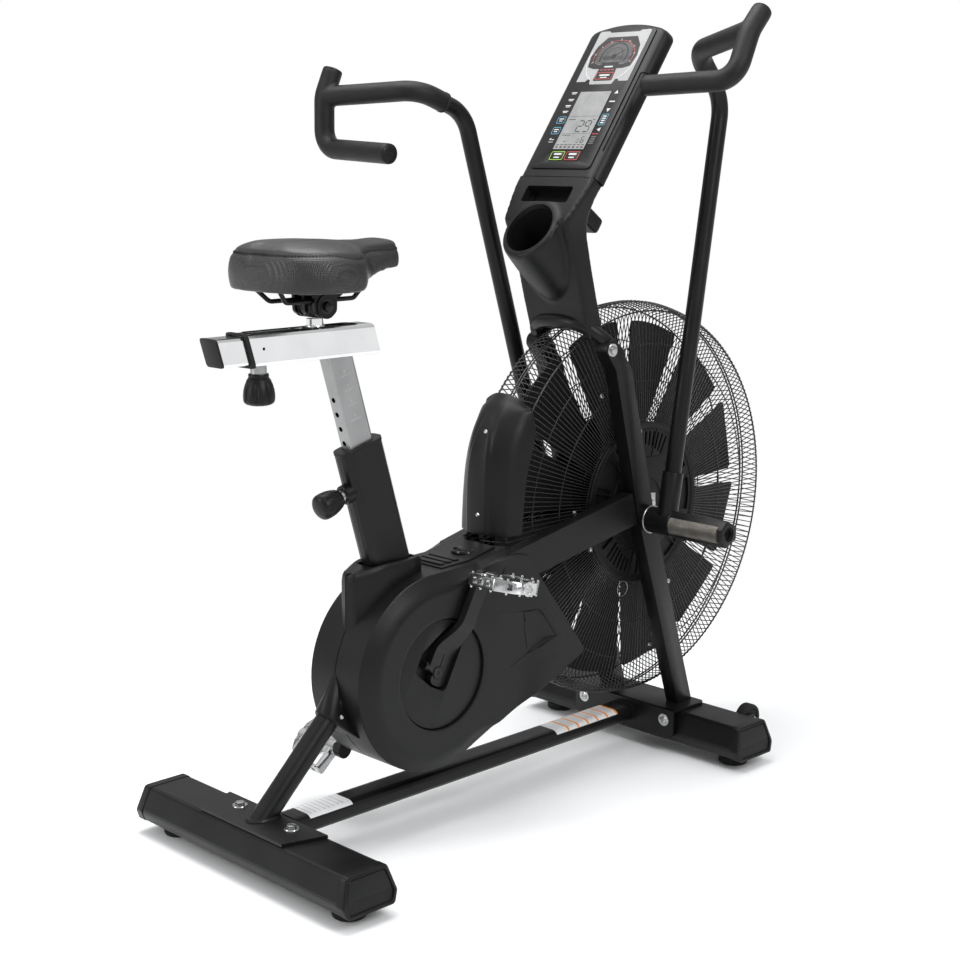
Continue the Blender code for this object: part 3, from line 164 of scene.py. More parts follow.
def saddle_cover():
    """The saddle's vinyl: smooth on top, with rows of fine dots where the "side" attribute is 1."""
    mat, nodes, links = new_material("saddle_cover")
    shader = nodes["Principled BSDF"]
    shader.inputs["Specular IOR Level"].default_value = 0.5
    coords = nodes.new("ShaderNodeTexCoord").outputs["Object"]
    side = nodes.new("ShaderNodeAttribute")
    side.attribute_name = "side"
    dots = add_node(nodes, "TexVoronoi", Scale=400, Randomness=0.0)
    grain = add_node(nodes, "TexNoise", Scale=1500)
    slow = add_node(nodes, "TexNoise", Scale=16)
    for node in (dots, grain, slow):
        links.new(coords, node.inputs["Vector"])
    height = nodes.new("ShaderNodeMix")
    links.new(side.outputs["Fac"], height.inputs["Factor"])
    links.new(grain.outputs["Fac"], height.inputs["A"])
    links.new(ranged(nodes, links, dots.outputs["Distance"], 2.6, 0.0, 0.0, 0.6), height.inputs["B"])
    add_tones(nodes, links, slow.outputs["Fac"], 0.0125, 0.0185)
    rough = nodes.new("ShaderNodeMath")
    links.new(ranged(nodes, links, slow.outputs["Fac"], 0.29, 0.36), rough.inputs[0])
    links.new(ranged(nodes, links, side.outputs["Fac"], 0.06, 0.0, 0.0, 1.0), rough.inputs[1])
    links.new(rough.outputs["Value"], shader.inputs["Roughness"])
    add_relief(nodes, links, height.outputs["Result"], 0.55)
    return mat


# Each finish: name, dark and light tone, roughness, grain, relief, then metal, mottling and specular.
LOOKS = {
    "powder": surface("powder_coat", 0.0045, 0.007, (0.28, 0.38), 1400, 0.3, 0, 14, 0.24),
    "plastic": surface("moulded_plastic", 0.006, 0.0082, (0.32, 0.42), 1900, 0.28, 0, 11, 0.22),
    "gloss": surface("smooth_plastic", 0.0055, 0.008, (0.2, 0.28), 900, 0.06, 0, 20, 0.35),
    # inner: a near-black, dull finish: painted shade on holes, gaps, slits and in hollows.
    "inner": surface("painted_shade_plastic", 0.0022, 0.0035, (0.55, 0.68), 900, 0.25, 0, 20, 0.1),
    "blade": surface("blade_plastic", 0.0045, 0.0065, (0.38, 0.5), 1200, 0.2, 0, 20, 0.18),
    "rubber": surface("black_rubber", 0.01, 0.015, (0.62, 0.8), 1100, 0.45, 0, 25, 0.25),
    "foam": surface("grip_foam", 0.006, 0.0085, (0.36, 0.48), 1500, 0.5, 0, 30, 0.26, "cells"),
    "chrome": surface("chrome_plate", 0.74, 0.82, (0.1, 0.16), 500, 0.012, 1.0, 18),
    "satin": surface("satin_chrome", 0.34, 0.42, (0.3, 0.4), 1600, 0.1, 1.0, 18),
    "alloy": surface("cast_alloy", 0.5, 0.66, (0.12, 0.24), 700, 0.16, 1.0, 45),
    "zinc": surface("zinc_bolt", 0.42, 0.55, (0.18, 0.32), 1200, 0.12, 1.0, 60),
    "wire": surface("coated_wire", 0.007, 0.0105, (0.22, 0.32), 1200, 0.12, 0, 30, 0.5),
    "vinyl": surface("smooth_vinyl", 0.015, 0.02, (0.42, 0.54), 1500, 0.35, 0, 18, 0.35),
    "cover": saddle_cover(),
    "thread": surface("seam_thread", 0.018, 0.03, (0.6, 0.75), 2500, 0.5, 0, 60, 0.3),
    "film": surface("black_film", 0.0055, 0.0072, (0.28, 0.36), 1600, 0.06, 0, 15, 0.24),
    "silver": surface("silver_film", 0.24, 0.3, (0.38, 0.48), 1500, 0.1, 0.25, 15),
    "lcd": surface("display_glass", 0.19, 0.24, (0.2, 0.26), 2200, 0.08, 0, 60),
    "segment": surface("display_ink", 0.02, 0.035, (0.2, 0.28), 900, 0.04, 0, 60),
    "white": surface("white_ink", 0.42, 0.52, (0.4, 0.5), 1200, 0.08, 0, 40),
    "red": surface("red_ink", (0.36, 0.02, 0.02), (0.46, 0.03, 0.028), (0.35, 0.45), 1200, 0.08, 0, 40),
    "green": surface("green_ink", (0.2, 0.42, 0.01), (0.26, 0.52, 0.02), (0.35, 0.45), 1200, 0.08, 0, 40),
    "blue": surface("blue_ink", (0.06, 0.25, 0.36), (0.09, 0.32, 0.44), (0.35, 0.45), 1200, 0.08, 0, 40),
    "dial": surface("dial_print", 0.06, 0.11, (0.34, 0.44), 1500, 0.1, 0.1, 25),
    "crank": surface("crank_coat", 0.0095, 0.0125, (0.34, 0.44), 1600, 0.3, 0, 12, 0.28),
    "tread": surface(
        "brushed_tread", (0.26, 0.245, 0.22), (0.38, 0.355, 0.32), (0.3, 0.42), 900, 0.5, 0.85, 50
    ),
    "etch": surface("etched_line", 0.42, 0.52, (0.4, 0.5), 1200, 0.1, 0.3, 40),
    "print": surface("grey_ink", 0.12, 0.16, (0.4, 0.5), 1200, 0.08, 0, 40),
    "label": surface("label_film", 0.72, 0.82, (0.4, 0.55), 1200, 0.1, 0, 40),
    "orange": surface("orange_film", (0.8, 0.26, 0.02), (0.92, 0.33, 0.03), (0.4, 0.5), 900, 0.08),
}
# The looks of each slot of the record. The first is the CAD nodes' own; black rubber comes after the belt's
# slot.
SLOTS = {
    "powder_black": ("powder",),
    "charcoal_plastic": ("blade", "plastic", "gloss", "inner", "film", "crank"),
    "belt_rubber": ("rubber",),
    "black_rubber": ("rubber",),
    "grip_foam": ("foam",),
    "chrome": ("chrome",),
    "satin_steel": ("satin", "zinc", "tread", "etch"),
    "cast_alloy": ("alloy",),
    "cage_wire": ("wire",),
    "saddle_vinyl": ("vinyl", "cover", "thread"),
    "silver_overlay": ("silver",),
}


def dress_nodes():
    """Give each CAD node the finish of its slot in the record."""
    for row in frame["record"]["subparts"]:
        node = frame["nodes"][row["node"]]
        node.data.materials.clear()
        look = "satin" if row["node"] == "seat_post" else SLOTS[row["material_slot"]][0]
        node.data.materials.append(LOOKS[look])


# ---- mesh helpers ----
def add_object(name, data):
    obj = bpy.data.objects.new(name, data)
    bpy.context.scene.collection.objects.link(obj)
    return obj


def from_bmesh(name, bm):
    mesh = bpy.data.meshes.new(name)
    bm.to_mesh(mesh)
    bm.free()
    return add_object(name, mesh)


def baked(obj, weld=0.00001):
    """Replace an object by a welded mesh of what its curve and modifiers make."""
    bpy.context.view_layer.update()
    graph = bpy.context.evaluated_depsgraph_get()
    mesh = bpy.data.meshes.new_from_object(obj.evaluated_get(graph))
    mesh.transform(obj.matrix_world)
    name = obj.name
    bpy.data.objects.remove(obj)
    bm = bmesh.new()
    bm.from_mesh(mesh)
    bmesh.ops.remove_doubles(bm, verts=bm.verts, dist=weld)
    bmesh.ops.recalc_face_normals(bm, faces=bm.faces)
    bm.to_mesh(mesh)
    bm.free()
    return add_object(name, mesh)


def bevel(obj, width, segments=3, angle=35):
    """Round the edges that are sharper than an angle in degrees."""
    step = obj.modifiers.new("Rounded edges", "BEVEL")
    step.width = width
    step.segments = segments
    step.limit_method = "ANGLE"
    step.angle_limit = radians(angle)
    return baked(obj)


def boolean(obj, others, operation):
    """Combine a solid with others, which are used up."""
    for other in others:
        step = obj.modifiers.new(operation.title(), "BOOLEAN")
        step.operation = operation
        step.object = other
        step.solver = "EXACT"
    obj = baked(obj)
    for other in others:
        bpy.data.objects.remove(other)
    return obj


def walled(obj, thickness, offset=0.0):
    """Give a surface a thickness."""
    step = obj.modifiers.new("Wall", "SOLIDIFY")
    step.thickness = thickness
    step.offset = offset
    return baked(obj)


def remeshed(obj, cell):
    """One closed skin of even cells round everything in a mesh."""
    step = obj.modifiers.new("Even cells", "REMESH")
    step.mode = "VOXEL"
    step.voxel_size = cell
    return baked(obj)


def relaxed(obj, factor, count):
    """Smooth a mesh's corners into one another."""
    step = obj.modifiers.new("Soften", "SMOOTH")
    step.factor = factor
    step.iterations = count
    return baked(obj)


def bent(obj, places, normal, shift, split_faces=False):
    """A mesh with edges added on parallel planes, and its points then moved by a function."""
    bm = bmesh.new()
    bm.from_mesh(obj.data)
    for place in places:
        geom = bm.verts[:] + bm.edges[:] + bm.faces[:]
        bmesh.ops.bisect_plane(bm, geom=geom, plane_co=place, plane_no=normal)
    for vert in bm.verts:
        shift(vert.co)
    if split_faces:
        bmesh.ops.triangulate(bm, faces=[f for f in bm.faces if len(f.verts) > 4])
    bm.to_mesh(obj.data)
    bm.free()
    return obj


def facing(way):
    """The turn that points local Z along a direction."""
    return Vector(way).to_track_quat("Z", "Y").to_matrix().to_4x4()


def cut(obj, *cutters):
    return boolean(obj, cutters, "DIFFERENCE")


def merge(name, *objs):
    """Several meshes as one object, left as separate bodies."""
    bm = bmesh.new()
    for obj in objs:
        bm.from_mesh(obj.data)
        bpy.data.objects.remove(obj)
    return from_bmesh(name, bm)


def moved(obj, matrix):
    """Move a mesh by a matrix, keeping its normals outward when the matrix mirrors it."""
    obj.data.transform(matrix)
    if matrix.determinant() < 0:
        obj.data.flip_normals()
    return obj


def aimed(obj, place, way):
    """Move a piece built along local Z to a place, and point it along a direction."""
    return moved(obj, Matrix.Translation(place) @ facing(way))


def mirrored(obj, side):
    """Flip a piece modelled on the right-hand side over to the left."""
    return moved(obj, Matrix.Diagonal((1, -1, 1, 1))) if side == LEFT else obj


def turned_over(obj, side):
    """The left crank's pieces are the right one's, flipped over and half a turn round the crank."""
    if side == LEFT:
        moved(obj, Matrix.Translation(CRANK) @ Matrix.Rotation(pi, 4, "Y") @ Matrix.Translation(-CRANK))
    return mirrored(obj, side)


def piece(obj, look, body="frame", replaces=(), angle=32):
    """Place a finished mesh: its finish, the body it rides on and the CAD nodes it stands for."""
    obj.data.transform(SHIFT)
    obj.data.materials.clear()
    obj.data.materials.append(LOOKS[look])
    obj.data.shade_smooth()
    obj.data.set_sharp_from_angle(angle=radians(angle))
    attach(obj, body)
    if replaces:
        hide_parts(*replaces)
    return obj


def box(name, low, high, rounding=0.0):
    """A box between two corners, with rounded edges where asked."""
    bm = bmesh.new()
    bmesh.ops.create_cube(bm, size=1.0)
    bmesh.ops.scale(bm, vec=Vector(high) - Vector(low), verts=bm.verts)
    bmesh.ops.translate(bm, vec=(Vector(high) + Vector(low)) / 2, verts=bm.verts)
    obj = from_bmesh(name, bm)
    return bevel(obj, rounding, 3) if rounding else obj


def rod(name, start, end, radius, sides=32, end_radius=None, rounding=0.0):
    """A cylinder or cone between two points."""
    start, end = Vector(start), Vector(end)
    bm = bmesh.new()
    bmesh.ops.create_cone(
        bm, cap_ends=True, segments=sides, radius1=radius,
        radius2=radius if end_radius is None else end_radius, depth=(end - start).length
    )
    bmesh.ops.transform(
        bm, matrix=Matrix.Translation((start + end) / 2) @ facing(end - start), verts=bm.verts
    )
    obj = from_bmesh(name, bm)
    return bevel(obj, rounding, 2, 50) if rounding else obj


def outline_plate(name, outline, low, high, axis="Y", holes=(), rounding=0.0):
    """A flat outline, with any holes, extruded between two levels of one axis."""
    curve = bpy.data.curves.new(name, "CURVE")
    curve.dimensions = "2D"
    curve.fill_mode = "BOTH"
    curve.extrude = (high - low) / 2
    for points in (outline, *holes):
        spline = curve.splines.new("POLY")
        spline.points.add(len(points) - 1)
        for point, (across, up) in zip(spline.points, points):
            point.co = (across, up, 0.0, 1.0)
        spline.use_cyclic_u = True
    obj = add_object(name, curve)
    middle = (low + high) / 2
    if axis == "Y":
        obj.matrix_world = Matrix.Translation((0, middle, 0)) @ Matrix.Rotation(pi / 2, 4, "X")
    elif axis == "X":
        turn = Matrix(((0, 0, 1, 0), (1, 0, 0, 0), (0, 1, 0, 0), (0, 0, 0, 1)))
        obj.matrix_world = Matrix.Translation((middle, 0, 0)) @ turn
    else:
        obj.matrix_world = Matrix.Translation((0, 0, middle))
    obj = baked(obj)
    return bevel(obj, rounding, 3) if rounding else obj


def turned(name, profile, centre, axis="Y", steps=64):
    """A profile of (radius, level) pairs turned about an axis; one that never meets the axis is closed."""
    closed = min(radius for radius, level in profile) > 0
    bm = bmesh.new()
    verts = [bm.verts.new((radius, 0.0, level)) for radius, level in profile]
    for first, second in zip(verts, verts[1:] + (verts[:1] if closed else [])):
        bm.edges.new((first, second))
    obj = from_bmesh(name, bm)
    step = obj.modifiers.new("Turn", "SCREW")
    step.steps = steps
    step.render_steps = steps
    step.use_merge_vertices = True
    step.merge_threshold = 0.00001
    turn = Matrix.Rotation(-pi / 2, 4, "X") if axis == "Y" else Matrix.Identity(4)
    obj.matrix_world = Matrix.Translation(centre) @ turn
    return baked(obj)


def spun(name, profile, steps):
    """A profile turned about the vertical axis through the origin."""
    return turned(name, profile, (0, 0, 0), "Z", steps)


def pipes(name, paths, radius, resolution=4, caps=True, cyclic=False):
    """Round bars through lists of points, in one mesh."""
    curve = bpy.data.curves.new(name, "CURVE")
    curve.dimensions = "3D"
    curve.bevel_depth = radius
    curve.bevel_resolution = resolution
    curve.use_fill_caps = caps
    for points in paths:
        spline = curve.splines.new("POLY")
        spline.points.add(len(points) - 1)
        for point, place in zip(spline.points, points):
            point.co = (*place, 1.0)
        spline.use_cyclic_u = cyclic
    return baked(add_object(name, curve), 0.000001)


def loft(name, rows, closed=True, caps=True):
    """Faces between rows of points, with the first and last rows filled where asked."""
    bm = bmesh.new()
    grid = [[bm.verts.new(point) for point in row] for row in rows]
    for low, high in zip(grid, grid[1:]):
        for i in range(len(low) if closed else len(low) - 1):
            j = (i + 1) % len(low)
            bm.faces.new((low[i], low[j], high[j], high[i]))
    if caps:
        bm.faces.new(grid[0])
        bm.faces.new(grid[-1])
    bmesh.ops.recalc_face_normals(bm, faces=bm.faces)
    return from_bmesh(name, bm)


def hull(name, points):
    """The convex solid round some points."""
    bm = bmesh.new()
    for point in points:
        bm.verts.new(point)
    bmesh.ops.convex_hull(bm, input=bm.verts)
    bmesh.ops.recalc_face_normals(bm, faces=bm.faces)
    return from_bmesh(name, bm)


def solidified(obj, thickness, outward_from):
    """An open surface given a thickness on its inner side."""
    outward = sum((p.center - Vector(outward_from)).dot(p.normal) * p.area for p in obj.data.polygons)
    if outward < 0:
        obj.data.flip_normals()
    return walled(obj, thickness, -1.0)


def arc(centre, radius, first, last, count):
    """Points of an arc in degrees."""
    angles = [radians(first + (last - first) * i / (count - 1)) for i in range(count)]
    return [(centre[0] + radius * cos(a), centre[1] + radius * sin(a)) for a in angles]


def rounded_rectangle(centre, width, height, radius, count=8):
    """A closed flat outline, anticlockwise."""
    points = []
    for sign_x, sign_y, first in ((1, 1, 0), (-1, 1, 90), (-1, -1, 180), (1, -1, 270)):
        corner = (centre[0] + sign_x * (width / 2 - radius), centre[1] + sign_y * (height / 2 - radius))
        points += arc(corner, radius, first, first + 90, count)
    return points


def rounded_path(corners, radii, count=12):
    """A polyline whose inner corners are replaced by arcs."""
    points = [Vector(corners[0])]
    for before, corner, after, radius in zip(corners, corners[1:], corners[2:], radii):
        corner = Vector(corner)
        back = (Vector(before) - corner).normalized()
        ahead = (Vector(after) - corner).normalized()
        half = acos(max(-1.0, min(1.0, back.dot(ahead)))) / 2
        centre = corner + (back + ahead).normalized() * (radius / sin(half))
        reach = radius * cos(half) / sin(half)
        first = corner + back * reach - centre
        turn = first.angle(corner + ahead * reach - centre)
        axis = first.cross(corner + ahead * reach - centre)
        for i in range(count + 1):
            points.append(centre + Matrix.Rotation(turn * i / count, 3, axis) @ first)
    points.append(Vector(corners[-1]))
    return points


def rounded_polygon(corners, radii, count=6):
    """A closed flat outline with each of its corners rounded."""
    points = []
    for i, (corner, radius) in enumerate(zip(corners, radii)):
        trio = [(*corners[i - 1], 0.0), (*corner, 0.0), (*corners[(i + 1) % len(corners)], 0.0)]
        points += [(p.x, p.y) for p in rounded_path(trio, (radius,), count)[1:-1]]
    return points


def share(value, low, high):
    """0 below low, 1 above high, and a smooth step between."""
    t = min(max((value - low) / (high - low), 0.0), 1.0)
    return t * t * (3 - 2 * t)


def through(rows, at):
    """Read a table of rows at a place between them, on a smooth curve; the first column is the place."""
    for i in range(len(rows) - 1):
        if at <= rows[i + 1][0] or i == len(rows) - 2:
            break
    one, two = rows[i], rows[i + 1]
    before, after = rows[max(i - 1, 0)], rows[min(i + 2, len(rows) - 1)]
    t = (at - one[0]) / (two[0] - one[0])
    values = []
    for a, b, c, d in zip(before[1:], one[1:], two[1:], after[1:]):
        slope_b, slope_c = (c - a) / 2, (d - b) / 2
        values.append(
            (2 * t**3 - 3 * t**2 + 1) * b + (t**3 - 2 * t**2 + t) * slope_b + (
                3 * t**2 - 2 * t**3
            ) * c + (t**3 - t**2) * slope_c
        )
    return values


# ---- fasteners ----
def bolt(place, axis, radius, height=None, washer=True, name="bolt"):
    """A six-sided head with a chamfered top and a round washer under it, pointing along an axis."""
    height = height or 0.62 * radius
    pieces = []
    base = 0.0
    if washer:
        base = 0.18 * radius
        pieces.append(spun("washer", [(0, base), (1.45 * radius, base), (1.55 * radius, 0), (0, 0)], 32))
    wide, top, foot = 1.02 * radius, base + 1.02 * height, base + 0.1 * height
    crown = spun(
        "crown", [(0, top), (0.55 * radius, top), (wide, base + 0.8 * height), (wide, foot), (0, foot)], 32
    )
    head = bevel(rod("head", (0, 0, base), (0, 0, base + height), radius, 6), 0.06 * radius, 1)
    pieces.append(boolean(head, (crown,), "INTERSECT"))
    return aimed(merge(name, *pieces), place, axis)


def screw(place, axis, radius, height=None, name="screw"):
    """A low round head with a cross recess."""
    height = height or 0.5 * radius
    profile = [
        (0, height), (0.45 * radius, 0.95 * height), (0.85 * radius, 0.6 * height), (radius, 0), (0, 0)
    ]
    head = spun(name, profile, 28)
    slots = [
        box(
            "slot", (-0.5 * radius, -0.09 * radius, 0.45 * height), (0.5 * radius, 0.09 * radius, 2 * height)
        ),
        box("slot", (-0.09 * radius, -0.5 * radius, 0.45 * height), (0.09 * radius, 0.5 * radius, 2 * height))
    ]
    return aimed(cut(head, *slots), place, axis)


def inset_polygon(corners, depth):
    """A convex outline, given anticlockwise, with every side moved in by a depth."""
    lines = []
    for one, two in zip(corners, corners[1:] + corners[:1]):
        along = (Vector(two) - Vector(one)).normalized()
        lines.append((Vector(one) + Vector((-along.y, along.x)) * depth, along))
    points = []
    for (a, u), (b, v) in zip(lines[-1:] + lines[:-1], lines):
        points.append(tuple(a + u * ((b - a).cross(v) / u.cross(v))))
    return points


# ---- base ----
CAP_Y = 0.26
CAP_SLANT = 0.012


def stabiliser_section(x):
    """The six corners of a foot bar's section in side view."""
    half = [(0.045, STAB_BOTTOM), (0.053, 0.041), (0.0393, STAB_TOP)]
    return [(x + wide, z) for wide, z in half] + [(x - wide, z) for wide, z in reversed(half)]


def stabiliser_end_y(z, out):
    """How far out a foot bar's slanted end stands at a height, plus a distance."""
    return CAP_Y + CAP_SLANT * (STAB_TOP - z) / (STAB_TOP - STAB_BOTTOM) + out


def stabiliser_cap(name, x, side):
    """A moulded cap over the end of a foot bar: a rim round a deep groove and a flat panel above it."""
    steps = [(0.001, -0.013), (-0.0008, -0.013), (-0.0009, 0.0016), (-0.0003, 0.003), (0.0008, 0.0036)]
    steps += [(0.0042, 0.0036), (0.005, 0.003), (0.0053, 0.0006)]

    def rings(outline, steps, rounding, tighter):
        rows = []
        for inset, out in steps:
            radii = [rounding - tighter * inset] * len(outline)
            ring = rounded_polygon(inset_polygon(outline, inset), radii, 6)
            rows.append([(px, side * stabiliser_end_y(pz, out), pz) for px, pz in ring])
        return rows

    corners = stabiliser_section(x)
    cap = loft("cap", rings(corners, steps, 0.0075, 0.5))
    inner = [(px, max(pz, 0.0445)) for px, pz in inset_polygon(corners, 0.0072)]
    panel = [(x + 0.0445, 0.0455), inner[2], inner[3], (x - 0.0445, 0.0455)]
    steps = [(-0.001, 0.0), (-0.001, 0.0014), (0.0, 0.0024), (0.004, 0.0026)]
    rows = rings(panel, steps, 0.006, 0.4)
    piece(merge(name, cap, loft("panel", rows)), "plastic")


def foot_pad(name, x, side):
    """A rubber foot: a flange and a grooved pad."""
    profile = [(0.0, 0.0217), (0.02, 0.0217), (0.0208, 0.015), (0.0245, 0.014), (0.0264, 0.0128)]
    profile += [(0.027, 0.011), (0.027, 0.0082), (0.0264, 0.0078), (0.0264, 0.007), (0.027, 0.0066)]
    profile += [(0.027, 0.003), (0.0262, 0.001), (0.0248, 0.0), (0.0, 0.0)]
    pad = turned(name, profile, (x, side * 0.222, 0.0), "Z", 72)
    piece(pad, "rubber", replaces=(name.replace("pad", "foot"),))


def transport_wheel(side_name, side):
    """A hard wheel with a tread groove, a dished web and a hub."""
    half = [(0.0045, 0.01), (0.0095, 0.01), (0.0105, 0.0078), (0.019, 0.0074), (0.0202, 0.0096)]
    half += [(0.0212, 0.01), (0.0252, 0.01), (0.0268, 0.0088), (0.0275, 0.0068), (0.0275, 0.0016)]
    half += [(0.0266, 0.001)]
    profile = half + [(r, -y) for r, y in reversed(half)]
    centre = (WHEEL_X, side * WHEEL_Y, WHEEL_Z)
    wheel = turned(f"wheel_{side_name}", profile, centre, steps=72)
    piece(wheel, "rubber", f"transport_wheel_{side_name}", (f"transport_wheel_{side_name}",))
    cheek_y = side * WHEEL_Y + 0.015
    for i, y in enumerate((cheek_y, cheek_y - 0.03)):
        way = (0, 1 if i == 0 else -1, 0)
        name = f"wheel_nut_{side_name}_{i}"
        piece(bolt((WHEEL_X, y, WHEEL_Z), way, 0.0058, 0.003, False, name), "zinc")


def front_bracket():
    """The angle plate that bolts the base bar and the uprights to the front foot bar."""
    top = outline_plate(
        "bracket",
        rounded_polygon(
            [
                (FRONT_X - 0.06, -0.125), (FRONT_X + 0.034, -0.125), (FRONT_X + 0.034, 0.125),
                (FRONT_X - 0.06, 0.125)
            ],
            (0.001, 0.01, 0.01, 0.001)
        ),
        STAB_TOP + 0.0003, PLATE_TOP, "Z", rounding=0.0012
    )
    flange = outline_plate(
        "flange",
        rounded_polygon(
            [(-0.125, 0.03), (0.125, 0.03), (0.125, 0.0883), (-0.125, 0.0883)], (0.019, 0.019, 0.001, 0.001)
        ),
        FRONT_X - 0.0605, FRONT_X - 0.055, "X", rounding=0.0012
    )
    fold = rod("fold", (FRONT_X - 0.0572, -0.1245, 0.085), (FRONT_X - 0.0572, 0.1245, 0.085), 0.0033, 24)
    piece(merge("bracket", top, flange, fold), "powder", replaces=("front_bracket",))


def base_details():
    """Everything on the two foot bars and the base bar between them."""
    for end_name, x in (("rear", REAR_X), ("front", FRONT_X)):
        for side_name, side in SIDES.items():
            stabiliser_cap(f"cap_{end_name}_{side_name}", x, side)
            foot_pad(f"pad_{end_name}_{side_name}", x, side)
    for side_name, side in SIDES.items():
        transport_wheel(side_name, side)
        # Button-headed bolts through the bracket and through the strut's plate.
        place = (FRONT_X - 0.0605, side * 0.1015, 0.0665)
        head = screw(place, (-1, 0, 0), 0.0086, 0.0046)
        ring = spun("ring", [(0, 0.0016), (0.0112, 0.0016), (0.012, 0.0008), (0.012, 0), (0, 0)], 40)
        aimed(ring, place, (-1, 0, 0))
        piece(merge(f"bracket_bolt_{side_name}", head, ring), "zinc")
        place = (REAR_X + 0.013, side * 0.0675, PLATE_TOP)
        piece(bolt(place, (0, 0, 1), 0.0082, 0.005, name=f"strut_bolt_{side_name}"), "zinc")
    front_bracket()
    # Weld fillets where the base bar's two ends meet the foot bars.
    for name, x in (("rear", REAR_X + 0.0545), ("front", FRONT_X - 0.0617)):
        outline = rounded_rectangle((0.0, 0.062), 0.0632, 0.0352, 0.0162, 10)
        collar = outline_plate(f"weld_{name}", outline, x - 0.0012, x + 0.0012, "X")
        piece(bevel(collar, 0.0009, 2), "powder")
    base_label()


def base_label():
    """The plain sticker on the base bar: pale, with orange bars across it and no lettering."""
    piece(wrapped_strip("bar_label", 0.071, 0.237, 0.0275, 0.0002), "label")
    bars = [wrapped_strip("bar", 0.101 + 0.0268 * i, 0.1058 + 0.0268 * i, 0.0274, 0.0003) for i in range(6)]
    piece(merge("bar_label_bars", *bars), "orange")
    rows = []
    for i in range(5):
        for k in range(4):
            x = 0.1088 + 0.0268 * i + 0.0045 * k
            rows.append(wrapped_strip("row", x, x + 0.0012, 0.0225 - 0.004 * (k % 2), 0.0003))
    piece(merge("bar_label_rows", *rows), "etch")
    piece(wrapped_strip("rear_label", -0.509, -0.42, 0.0265, 0.0002), "label")
    lines = [wrapped_strip("line", -0.503 + 0.0095 * k, -0.5012 + 0.0095 * k, 0.02, 0.0003) for k in range(8)]
    piece(merge("rear_label_lines", *lines), "etch")


def wrapped_strip(name, low_x, high_x, reach, proud):
    """A strip of film laid over the base bar's rounded top."""
    rows = []
    for x in (low_x, high_x):
        over, under = [], []
        for k in range(25):
            y = reach * (k / 12 - 1)
            drop = 0.015 - (0.015**2 - max(abs(y) - 0.015, 0.0) ** 2) ** 0.5
            over.append((x, y, 0.078 - drop + proud))
            under.append((x, y, 0.078 - drop - 0.0003))
        rows.append(over + under[::-1])
    return loft(name, rows)


# ---- main frame ----
def strut_details():
    """The hood over the rear strut's top, its screw, and the weld at its foot."""
    start = Vector((REAR_X - 0.01, 0.0, 0.07))
    along = Vector((0.717, 0.0, 0.697)).normalized()
    turn = Matrix.Translation(start) @ facing(along)
    # The pointed hood over the tube's top end, on the drum.
    mouth = [
        turn @ Vector(
            (0.0245 * cos(2 * pi * k / 40), 0.0245 * sin(2 * pi * k / 40), 0.2145)
        ) for k in range(40)
    ]
    lip = [
        turn @ Vector(
            (0.0225 * cos(2 * pi * k / 40), 0.0225 * sin(2 * pi * k / 40), 0.2115)
        ) for k in range(40)
    ]
    tail = [(-0.4321, y, 0.2938) for y in (-0.002, 0.002)] + [(-0.4106, y, 0.185) for y in (-0.034, 0.034)]
    tail += [(-0.4, y, 0.285) for y in (-0.004, 0.004)] + [(-0.39, y, 0.19) for y in (-0.03, 0.03)]
    hood = hull("strut_hood", [*mouth, *lip, *tail])
    piece(bevel(hood, 0.003, 4, 30), "plastic", angle=40)
    piece(screw((-0.4413, -0.0268, 0.2275), (-0.75, -1, 0), 0.0034, 0.0016, "hood_screw"), "zinc")
    # The weld round the tube's foot, on the plate.
    ring = spun(
        "strut_weld", [(0.0, 0.004), (0.0198, 0.004), (0.0222, 0.001), (0.0226, -0.002), (0.0, -0.002)], 48)
    centre = start + along * ((PLATE_TOP - start.z) / along.z)
    for vert in ring.data.vertices:
        vert.co.x *= 1.0 / 0.697
    moved(ring, Matrix.Translation(centre))
    piece(ring, "powder")


def hoop_points(count=49):
    """A flattened arch that leans back from one upright to the other, over the fan."""
    points = []
    for i in range(count):
        turn = pi * i / (count - 1)
        across = abs(cos(turn)) ** 0.77 * (1 if turn < pi / 2 else -1)
        rise = sin(turn) ** 0.77 if 0 < i < count - 1 else 0.0
        points.append((HOOP_X - 0.0695 * rise, UPRIGHT_Y * across, 0.7735 + 0.06 * rise))
    return points


def frame_details():
    """The hoop over the fan, the uprights, the pivot bosses with their rings, and the foot pegs."""
    legs = [(HOOP_X, UPRIGHT_Y, 0.7595), (HOOP_X, -UPRIGHT_Y, 0.7595)]
    hoop = pipes("hoop_tube", [[legs[0], *hoop_points(), legs[1]]], 0.013, 8)
    piece(hoop, "powder", replaces=("frame_hoop",), angle=50)
    for side_name, side in SIDES.items():
        profile = [(0.0, -0.099), (0.0225, -0.099), (0.0239, -0.1004), (0.0239, -0.1072), (0.0233, -0.108)]
        profile += [(0.0233, -0.109), (0.0, -0.109)]
        boss = turned(f"boss_{side_name}", profile, (PIVOT.x, 0, PIVOT.z), steps=72)
        piece(mirrored(boss, side), "gloss", replaces=(f"pivot_boss_{side_name}",))
        profile = [
            (0.018, -0.1088), (0.0254, -0.1088), (0.0262, -0.1096), (0.0262, -0.1108), (0.0254, -0.1116)
        ]
        profile += [(0.018, -0.1116)]
        ring = turned(f"boss_ring_{side_name}", profile, (PIVOT.x, 0, PIVOT.z), steps=72)
        piece(mirrored(ring, side), "satin")
        upright(side_name, side)
        foot_peg(side_name, side)


